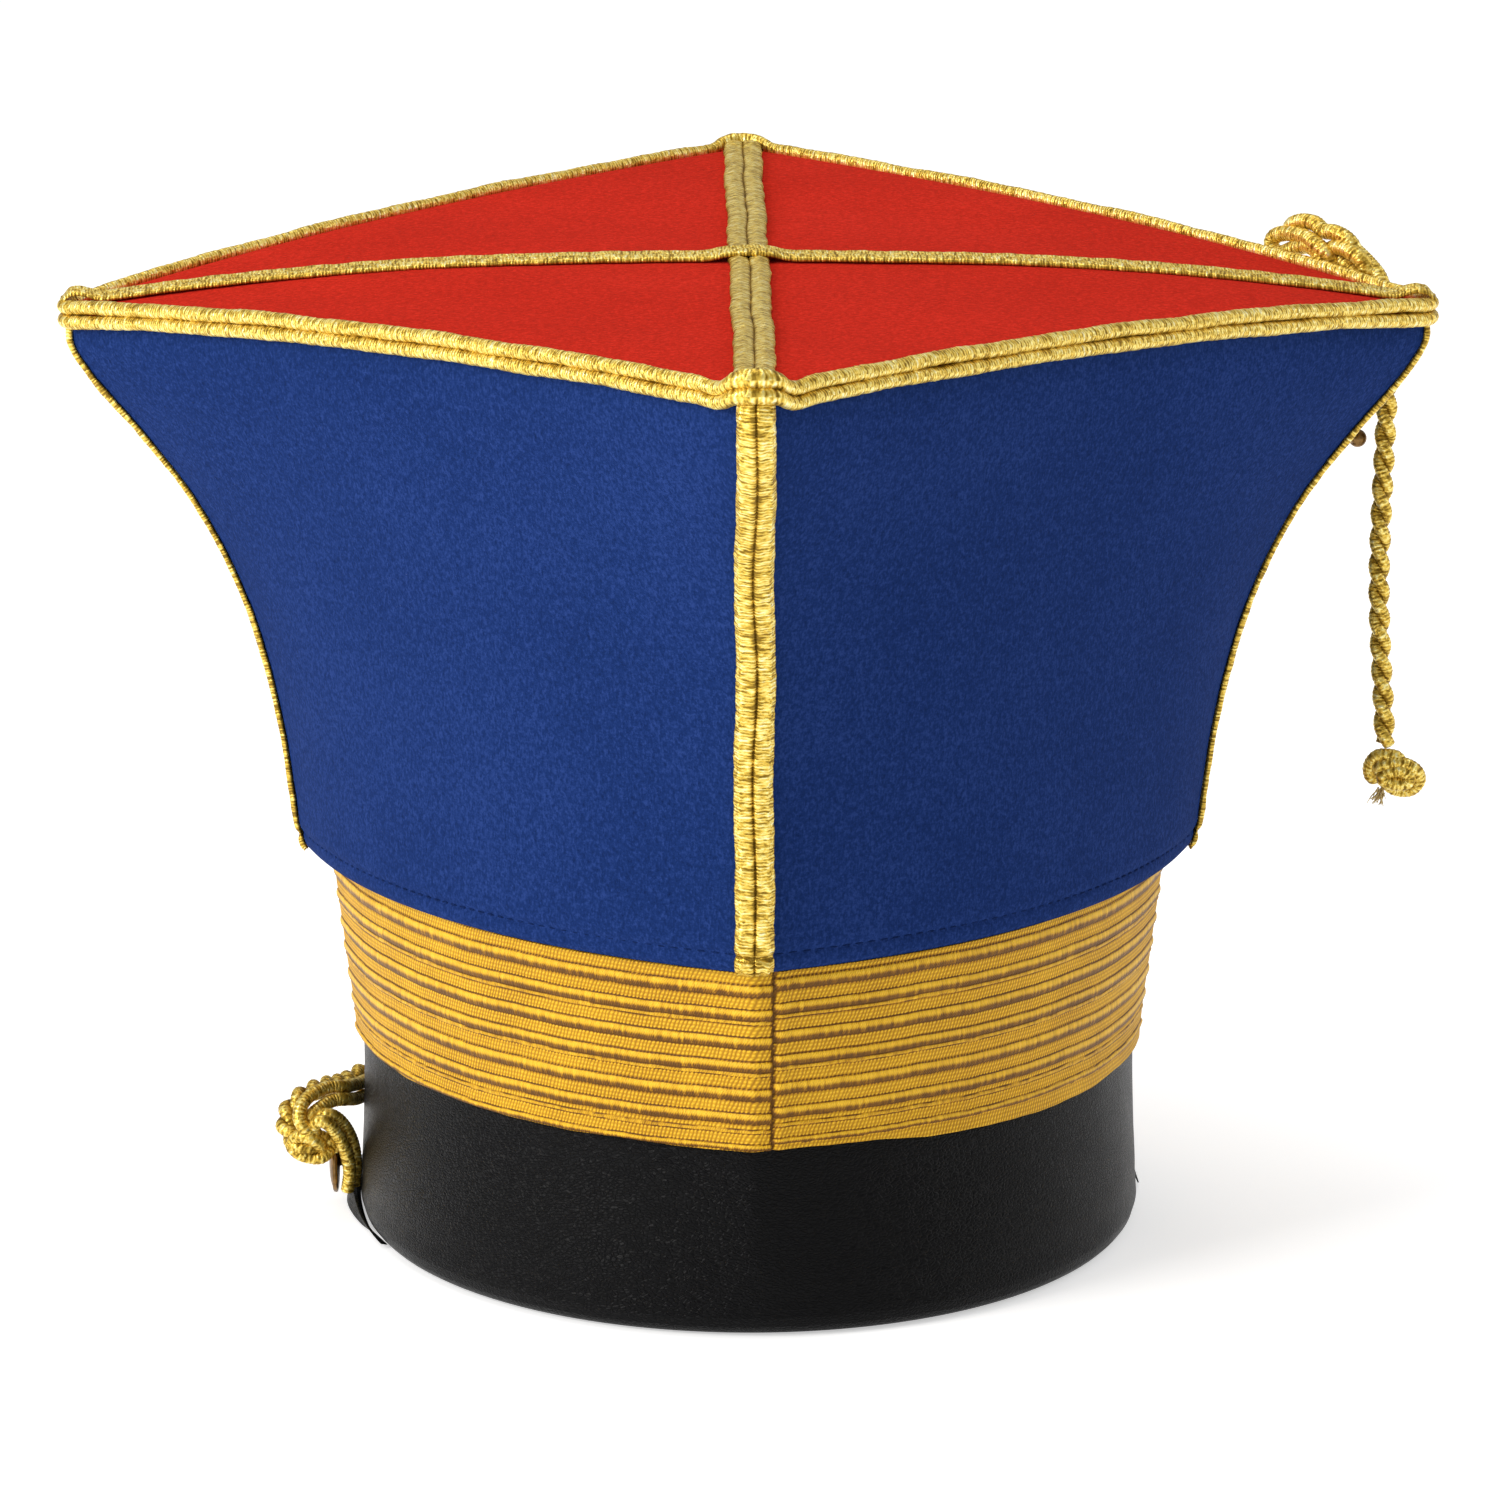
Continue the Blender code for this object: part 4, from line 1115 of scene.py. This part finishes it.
def make_peak():
    """Leather crescent: for each turn, a bowed section from the base out to a rounded edge. Behind the
    widest points it is a thin strip that stands on its edge and turns in towards its tip, and the left
    tip's upper side drops."""
    turn = np.linspace(*PEAK_ENDS, 260)
    front = np.maximum(0.0, np.sin(turn * np.pi / 2))
    tail = np.clip(np.minimum(turn - PEAK_ENDS[0], PEAK_ENDS[1] - turn) / PEAK_TAPER, 0, 1)
    strip = 0.15 + 1.75 * ease(tail)
    thickness = strip + (2.2 - strip) * front
    root = leather_point(turn, 8.0, GAP)
    root[:, 2] = 3.0 + 14.0 * front**1.2 - 2.4 * (1 - ease(tail)) * (turn > 1)
    angle = turn * np.pi / 2
    edge = xyz(PEAK_HALF_WIDTH * np.cos(angle), PEAK_REACH * np.sin(angle), 0.4)
    behind = front <= 0
    level = unit(xyz(np.cos(angle) / PEAK_HALF_WIDTH, np.sin(angle) / PEAK_REACH, 0.0))
    overhang = (PEAK_HALF_WIDTH - LEATHER_ROWS[2][1] - GAP) * (1.9 * ease(tail) - 0.9)
    edge[behind, :2] = (root + level * overhang[:, None])[behind, :2]
    along = unit(edge - root)
    up = square_to(level, along)
    up = np.where(up[:, 2:] < 0, level, up)
    t = np.linspace(0, 1, 26)
    bow = 4 * t * (1 - t)
    middle = root[:, None] + (edge - root)[:, None] * t[None, :, None]
    middle = middle + up[:, None] * (2.0 * front[:, None] * bow[None, :])[..., None]
    cap_angle = np.linspace(-np.pi / 2, np.pi / 2, 10)[1:-1]
    half = thickness[:, None, None] / 2
    nose = edge[:, None] + up[:, None] * half * (1 + np.sin(cap_angle))[None, :, None]
    nose = nose + along[:, None] * (half * 0.6 * np.cos(cap_angle)[None, :, None])
    nose[..., 2] = np.maximum(nose[..., 2], 0.12)
    over = middle + up[:, None] * thickness[:, None, None]
    rings = np.concatenate([middle, nose, over[:, ::-1]], axis=1)
    uv = np.zeros((len(turn), rings.shape[1] + 1, 2))
    tube_piece("peak_leather", rings, uv, once(grained_leather), "black_leather", ("peak",))


def chin_route():
    """The chin cord's middle line: a curl beside the left button, then round the front of the base."""
    curl = [
        (-91.2, -2.6, 13.6), (-94.4, -5.0, 12.6), (-98.2, -5.2, 14.2), (-101.2, -3.0, 17.0),
        (-101.6, 1.2, 20.2), (-98.4, 6.4, 22.8), (-94.0, 14.0, 22.8), (-90.0, 23.5, 21.2),
        (-87.0, 31.5, 20.8),
    ]
    turn = np.linspace(1.70, RIGHT_BUTTON_TURN + 0.09, 17)
    stretch = leather_point(turn, CHIN_CORD_HEIGHT, 2.4 * GAP + 2.5)
    return np.concatenate([curl, stretch])


CHIN_LOOPS = (
    ((-88.3, -3.0, 3.9), (-87.8, -4.4, 8.7), (-88.6, -5.8, 13.5), (-90.1, -7.2, 17.4), (-92.1, -8.4, 20.2),
     (-94.1, -8.6, 21.1), (-95.5, -7.6, 19.6), (-95.2, -5.4, 17.3)),
    ((-87.0, -0.6, 4.5), (-86.6, -1.6, 9.2), (-87.0, -2.4, 13.8), (-88.3, -3.6, 17.7), (-90.2, -5.0, 20.6),
     (-92.3, -6.0, 21.9), (-94.4, -5.4, 21.3), (-95.8, -4.4, 19.5)),
    ((-93.7, -3.2, 12.7), (-96.1, -5.2, 12.0), (-98.9, -5.6, 13.0), (-100.5, -4.6, 14.7), (-99.1, -6.2, 16.9),
     (-96.5, -7.6, 17.1), (-94.3, -6.6, 15.4), (-93.7, -3.6, 12.8)),
    ((-85.1, 20.0, 22.6), (-86.6, 12.0, 24.0), (-89.0, 3.4, 25.8), (-92.6, 0.4, 26.3), (-96.0, -3.2, 25.7),
     (-98.1, -6.2, 24.0), (-98.6, -7.6, 21.4), (-97.3, -8.0, 19.3), (-95.1, -6.4, 18.1)),
    ((-85.1, 18.0, 19.8), (-86.8, 10.0, 21.2), (-88.7, 1.4, 23.4), (-91.6, -1.2, 23.7), (-94.2, -4.0, 22.9),
     (-96.3, -5.8, 21.4), (-97.0, -5.2, 18.7)),
    ((-97.0, -4.0, 17.5), (-94.5, -4.4, 16.6), (-92.0, -4.2, 15.4), (-90.8, -3.2, 13.2)),
)


def make_chin_cord():
    """Two-strand twisted cord, the wound cords of its knot at the left button and its eye on the right."""
    rope("chin_rope", chin_route(), (0, 0, 1.0), ("chin_cord",))
    wound_piece("chin_loops_left", CHIN_LOOPS, 1.48, (0.1, -1.0, 0.2), 12, ("cord_eye_left",))
    out = button_axis(RIGHT_BUTTON_TURN)
    way = np.array([-out[1], out[0], 0.0])
    middle = leather_point(np.array(RIGHT_BUTTON_TURN), RIGHT_BUTTON_HEIGHT)
    middle = middle + out * 1.9 + way * 3.6
    angle = full_turn(40)[:, None]
    ring = middle + way * 8.0 * np.cos(angle) + np.cross(out, way) * 4.1 * np.sin(angle)
    wound_piece("chin_eye_right", (ring,), 1.4, out, 12, ("cord_eye_right",), closed=True)


def button_axis(turn):
    """The way straight out of the leather base at a turn."""
    _, half_width, half_depth, _ = LEATHER_ROWS[2]
    angle = turn * np.pi / 2
    return unit(np.array([np.cos(angle) / half_width, np.sin(angle) / half_depth, 0.0]))


def turned_rings(foot, axis, profile, steps):
    """Rings round an axis: each row of the profile is a distance along the axis and a radius."""
    axis = unit(np.array(axis, float))
    side = unit(np.cross(axis, (0, 0, 1.0)))
    up = np.cross(side, axis)
    along, radius = np.array(profile, float).T
    angle = full_turn(steps)[None, :, None]
    rings = foot + axis * along[:, None, None]
    rings = rings + (side * np.cos(angle) + up * np.sin(angle)) * radius[:, None, None]
    uv = np.zeros((len(profile), steps + 1, 2))
    return rings, uv


def make_buttons():
    """Domed side buttons with a raised rim, each on a shank that holds its face off the leather, the left
    one further, and the ball-ended hook below the right corner."""
    brass = once(worn_brass)
    dome_angle = np.linspace(0.08, 1.0, 12) * np.pi / 2
    spots = (
        ("left", LEFT_BUTTON_TURN, LEFT_BUTTON_HEIGHT, 5.0),
        ("right", RIGHT_BUTTON_TURN, RIGHT_BUTTON_HEIGHT, 3.5),
    )
    for name, turn, height, face in spots:
        dome = [(face + 0.9 + 1.15 * np.cos(a), 6.3 * np.sin(a)) for a in dome_angle][::-1]
        profile = [
            (0.1, 1.3), (0.3, 1.4), (face - 0.4, 1.4), (face - 0.1, 1.9), (face, 4.0), (face, 6.6),
            (face + 0.15, 7.15), (face + 0.5, 7.3), (face + 0.95, 7.15), (face + 1.15, 6.8),
            (face + 1.0, 6.45), *dome,
        ]
        rings = turned_rings(leather_point(np.array(turn), height, GAP), button_axis(turn), profile, 48)
        tube_piece("button_" + name, *rings, brass, "dark_brass", ("side_button_" + name,))
    share = (HOOK_HEIGHT - BODY_BOTTOM) / (crown_height(CROWN_REACH) - CROWN_WALL - BODY_BOTTOM)
    foot, beside = panel_surface(np.array([HOOK_TURN, HOOK_TURN / 2]), share)
    above = panel_surface(np.array(HOOK_TURN), share + 0.03)
    normal = unit(np.cross(foot - beside, above - foot))
    axis = unit(np.array([1.0, 1.0, 0.0]) / np.sqrt(2) + normal * 0.2)
    ball_angle = np.linspace(0.12, np.pi - 0.45, 14)[::-1]
    ball = [(16.4 + 2.0 * np.cos(a), 2.0 * np.sin(a)) for a in ball_angle]
    rings = turned_rings(foot, axis, [(0.9, 0.9), (4.0, 0.9), (14.0, 0.9), *ball], 28)
    tube_piece("hook_with_ball", *rings, brass, "dark_brass", ("corner_hook",))


def hanging_route():
    """The corner cord's middle line, from the corner knot down to the end knot."""
    return [
        (HANG_X - 0.4, HANG_Y, 201.0), (HANG_X + 0.4, HANG_Y, 187.0), (HANG_X, HANG_Y, 172.0),
        (HANG_X - 1.0, HANG_Y, 136.0), (HANG_X + 0.4, HANG_Y, 107.2), (HANG_X + 0.9, HANG_Y, 99.2),
    ]


END_KNOT_LOOPS = (
    ((139.4, 17.0, 96.9), (142.8, 17.0, 96.5), (143.8, 17.9, 94.4), (141.0, 19.3, 92.9), (138.0, 19.3, 91.4),
     (137.1, 18.5, 93.6), (137.8, 17.7, 95.7)),
    ((139.4, 16.3, 94.6), (143.4, 16.1, 95.4), (146.9, 16.7, 93.8), (148.0, 18.1, 91.1), (146.3, 19.3, 88.7),
     (143.1, 19.9, 88.6), (140.7, 19.5, 90.4), (139.2, 18.5, 92.7)),
    ((140.3, 15.9, 93.0), (143.4, 15.7, 93.8), (145.6, 16.1, 92.4), (144.9, 16.3, 90.8), (142.1, 16.1, 90.8),
     (140.1, 15.9, 91.7)),
)
KNOT_STRAND_RADIUS = 1.75
KNOT_STRANDS = (
    ((127.7, 30.9, 200.3), (127.1, 28.1, 203.0), (125.6, 28.2, 206.1), (123.4, 30.1, 208.3),
     (120.3, 34.6, 207.2), (117.3, 39.0, 205.2), (115.6, 41.6, 206.4), (116.3, 41.5, 208.6),
     (119.1, 37.5, 210.0), (122.2, 32.2, 210.1), (124.7, 28.2, 209.0), (127.2, 26.9, 206.8),
     (128.0, 28.3, 204.0)),
    ((124.4, 33.6, 208.2), (121.0, 36.5, 209.3), (119.6, 38.1, 211.4), (121.7, 36.4, 212.8),
     (124.5, 33.3, 212.9), (126.3, 30.6, 211.7), (128.5, 28.1, 211.8), (130.8, 26.1, 210.9),
     (132.4, 25.3, 209.1), (132.9, 26.0, 206.3), (130.9, 28.6, 204.7)),
    ((126.1, 32.5, 204.7), (127.7, 28.9, 207.9), (129.6, 25.7, 208.9), (132.2, 22.7, 208.1),
     (134.4, 21.4, 206.3), (135.0, 21.9, 204.1), (133.6, 24.8, 201.4)),
    ((129.0, 29.6, 206.2), (130.5, 26.5, 205.5), (132.4, 23.7, 203.8), (134.8, 21.3, 202.3),
     (137.1, 19.3, 200.9), (138.9, 18.1, 198.8)),
    ((131.0, 28.0, 209.6), (134.6, 24.0, 206.8), (137.6, 21.2, 203.6), (139.0, 19.6, 200.2)),
)


def make_corner_cord():
    """Interlaced knot of wound cord at the right corner, the twisted cord that hangs from it, and the
    knot and loose threads at its end."""
    wound_piece("corner_knot_cord", KNOT_STRANDS, KNOT_STRAND_RADIUS, (0.7, 0.7, 0.2), 14, ("corner_knot",))
    route = np.array(hanging_route())
    piece = rope("corner_rope", route, (0, -1.0, 0), ("corner_cord",))
    knot = wound_piece("end_knot_cord", END_KNOT_LOOPS, 1.55, (0, -1.0, 0), 14, ("cord_end_knot",),
                       step=0.18, closed=True)
    tail = make_frayed_tail()


def make_frayed_tail():
    """Loose cut threads below the end knot: thin tapering tubes that fan out and down."""
    rng = np.random.default_rng(4)
    body = Body()
    for _ in range(26):
        start = np.array([139.6, 18.3, 88.6]) + rng.uniform(-0.9, 0.9, 3)
        drop = np.array([rng.uniform(-2.6, 1.2), rng.uniform(-1.2, 1.2), rng.uniform(-3.6, -2.0)])
        bend = rng.uniform(-0.5, 0.5, 3)
        t = np.linspace(0, 1, 7)[:, None]
        path = start + drop * t + bend * 4 * t * (1 - t)
        rings, uv = wound_rings(path, 0.20, (0, 1.0, 0), 6, 5.0, depth=0.0)
        rings = path[:, None] + (rings - path[:, None]) * (1 - 0.6 * t)[:, None]
        body.tube(rings, uv)
    return body.finish("end_knot_loose_threads", once(loose_fibre))


# Stage


def add_light(name, place, target, size, watts, colour):
    data = bpy.data.lights.new(name, "AREA")
    data.shape = "RECTANGLE"
    data.size, data.size_y = size
    data.energy = watts
    data.color = colour
    light = new_object(name, data)
    way = Vector(target) - Vector(place)
    light.matrix_world = Matrix.Translation(place) @ way.to_track_quat("-Z", "Y").to_matrix().to_4x4()


def make_floor():
    mesh = bpy.data.meshes.new("floor")
    reach = 12.0
    mesh.from_pydata([(-reach, -reach, 0), (reach, -reach, 0), (reach, reach, 0), (-reach, reach, 0)],
                     [], [(0, 1, 2, 3)])
    mesh.update()
    material, _, shader = start_material("pale_floor", Roughness=0.9, Specular_IOR_Level=0.1)
    shader.inputs["Base Color"].default_value = (0.90, 0.90, 0.90, 1.0)
    shader.inputs["Emission Color"].default_value = (1.0, 1.0, 1.0, 1.0)
    shader.inputs["Emission Strength"].default_value = FLOOR_GLOW
    mesh.materials.append(material)
    floor = new_object("floor", mesh)
    floor.location = (0, 0, -0.0005)


def make_camera():
    data = bpy.data.cameras.new("camera")
    data.sensor_width = SENSOR_MM
    data.lens = CAMERA_FOCAL_PIXELS / PHOTO_PIXELS * SENSOR_MM
    data.clip_end = 50.0
    camera = new_object("camera", data)
    level = np.cos(CAMERA_ELEVATION) * CAMERA_DISTANCE
    target = Vector(CAMERA_TARGET) * MM
    back = Vector((level * np.sin(CAMERA_AZIMUTH), -level * np.cos(CAMERA_AZIMUTH),
                   np.sin(CAMERA_ELEVATION) * CAMERA_DISTANCE)) * MM
    facing = (-back).to_track_quat("-Z", "Y").to_matrix().to_4x4()
    camera.matrix_world = Matrix.Translation(target + back) @ facing
    bpy.context.scene.camera = camera


def make_stage():
    """White floor and world, one large soft light on the left, and weaker ones above and on the right."""
    make_floor()
    make_camera()
    scene = bpy.context.scene
    scene.view_settings.view_transform = "Standard"
    world = bpy.data.worlds.new("studio")
    world.use_nodes = True
    background = world.node_tree.nodes["Background"]
    background.inputs[0].default_value = (1.0, 1.0, 1.0, 1.0)
    background.inputs[1].default_value = WORLD_LIGHT
    scene.world = world
    middle = (0.0, 0.0, 0.10)
    for name, place, size, watts, colour in LIGHTS:
        add_light(name, place, middle, size, watts, colour)


# Settings, operators and panel


class CapSizes(bpy.types.PropertyGroup):
    rope_twist_mm: bpy.props.FloatProperty(
        name="Rope twist", description="Length of one turn of the twisted cords, in millimetres",
        default=11.8, min=6.0, max=20.0)
    winding_mm: bpy.props.FloatProperty(
        name="Winding", description="Spacing of the gold thread wound round each strand, in millimetres",
        default=0.80, min=0.4, max=2.0)


def colour_property(name, description, default):
    return bpy.props.FloatVectorProperty(name=name, description=description, default=default, size=3,
                                         min=0.0, max=1.0, subtype="COLOR")


class CapColours(bpy.types.PropertyGroup):
    blue_cloth: colour_property("Blue cloth", "Colour of the four sides", (0.0085, 0.0265, 0.122))
    red_cloth: colour_property("Red cloth", "Colour of the crown", (0.52, 0.016, 0.0050))
    gold: colour_property("Gold", "Middle colour of the gold thread", (0.80, 0.53, 0.070))
    # Pale and deep gold are the painted light and the painted shade of the thread.
    gold_light: colour_property("Pale gold", "Lit colour of the gold thread", (1.0, 0.85, 0.27))
    gold_shaded: colour_property("Deep gold", "Shaded colour of the gold thread", (0.30, 0.175, 0.012))
    lace: colour_property("Lace", "Middle colour of the silk lace", (0.62, 0.315, 0.006))
    # Pale and deep lace are the painted light and the painted shade of the silk.
    lace_light: colour_property("Pale lace", "Lit colour of the silk lace", (0.95, 0.57, 0.030))
    lace_shaded: colour_property("Deep lace", "Shaded colour of the silk lace", (0.24, 0.095, 0.002))
    leather: colour_property("Leather", "Colour of the headband and the peak", (0.0045, 0.0045, 0.0050))
    brass: colour_property("Brass", "Colour of the buttons and the hook", (0.30, 0.17, 0.06))


def operator(idname, label, text, work):
    """An operator class that calls one of the functions above."""

    def execute(self, context):
        work()
        return {"FINISHED"}

    return type("CAP_OT_" + idname, (bpy.types.Operator,), {
        "__doc__": text, "bl_idname": "cap." + idname, "bl_label": label,
        "bl_options": {"REGISTER", "UNDO"}, "execute": execute,
    })


OPERATORS = (
    operator("stage", "Stage", "Floor, camera, world and lights", make_stage),
    operator("corner_cord", "Corner cord", "Corner knot, hanging cord and end knot", make_corner_cord),
    operator("chin_cord", "Chin cord", "Twisted chin cord and its loops", make_chin_cord),
    operator("leather", "Leather base", "Leather headband", make_leather_base),
    operator("peak", "Peak", "Leather peak", make_peak),
    operator("lace", "Lace band", "Ribbed yellow lace", make_lace_band),
    operator("cloth", "Cloth sides", "Four cloth sides with their sewn hem", make_cloth_panels),
    operator("crown", "Crown", "Four quarters of the crown", make_crown),
    operator("seam_braid", "Seam braid", "Double braid on the corner seams", make_seam_braids),
    operator("top_braid", "Top braid", "Double braid in a cross on the crown", make_top_braids),
    operator("rim", "Rim cords", "Two cords round the crown's edge", make_rim_cords),
    operator("buttons", "Buttons", "Side buttons and corner hook", make_buttons),
)


class CAP_PT_panel(bpy.types.Panel):
    """Lists the cap's settings and its operators."""

    bl_label = "Lancer cap"
    bl_idname = "CAP_PT_panel"
    bl_space_type = "VIEW_3D"
    bl_region_type = "UI"
    bl_category = "Cap"

    def draw(self, context):
        for group in (context.scene.cap_sizes, context.scene.cap_colours):
            for key in group.bl_rna.properties.keys():
                if key not in {"rna_type", "name"}:
                    self.layout.prop(group, key)
        for made in OPERATORS:
            self.layout.operator(made.bl_idname)


CLASSES = (CapSizes, CapColours, *OPERATORS, CAP_PT_panel)


def register():
    for made in CLASSES:
        bpy.utils.register_class(made)
    bpy.types.Scene.cap_sizes = bpy.props.PointerProperty(type=CapSizes)
    bpy.types.Scene.cap_colours = bpy.props.PointerProperty(type=CapColours)


def unregister():
    del bpy.types.Scene.cap_colours
    del bpy.types.Scene.cap_sizes
    for made in reversed(CLASSES):
        bpy.utils.unregister_class(made)


def main():
    register()
    for made in OPERATORS:
        getattr(bpy.ops.cap, made.bl_idname.split(".")[1])()


if __name__ == "__main__":
    main()
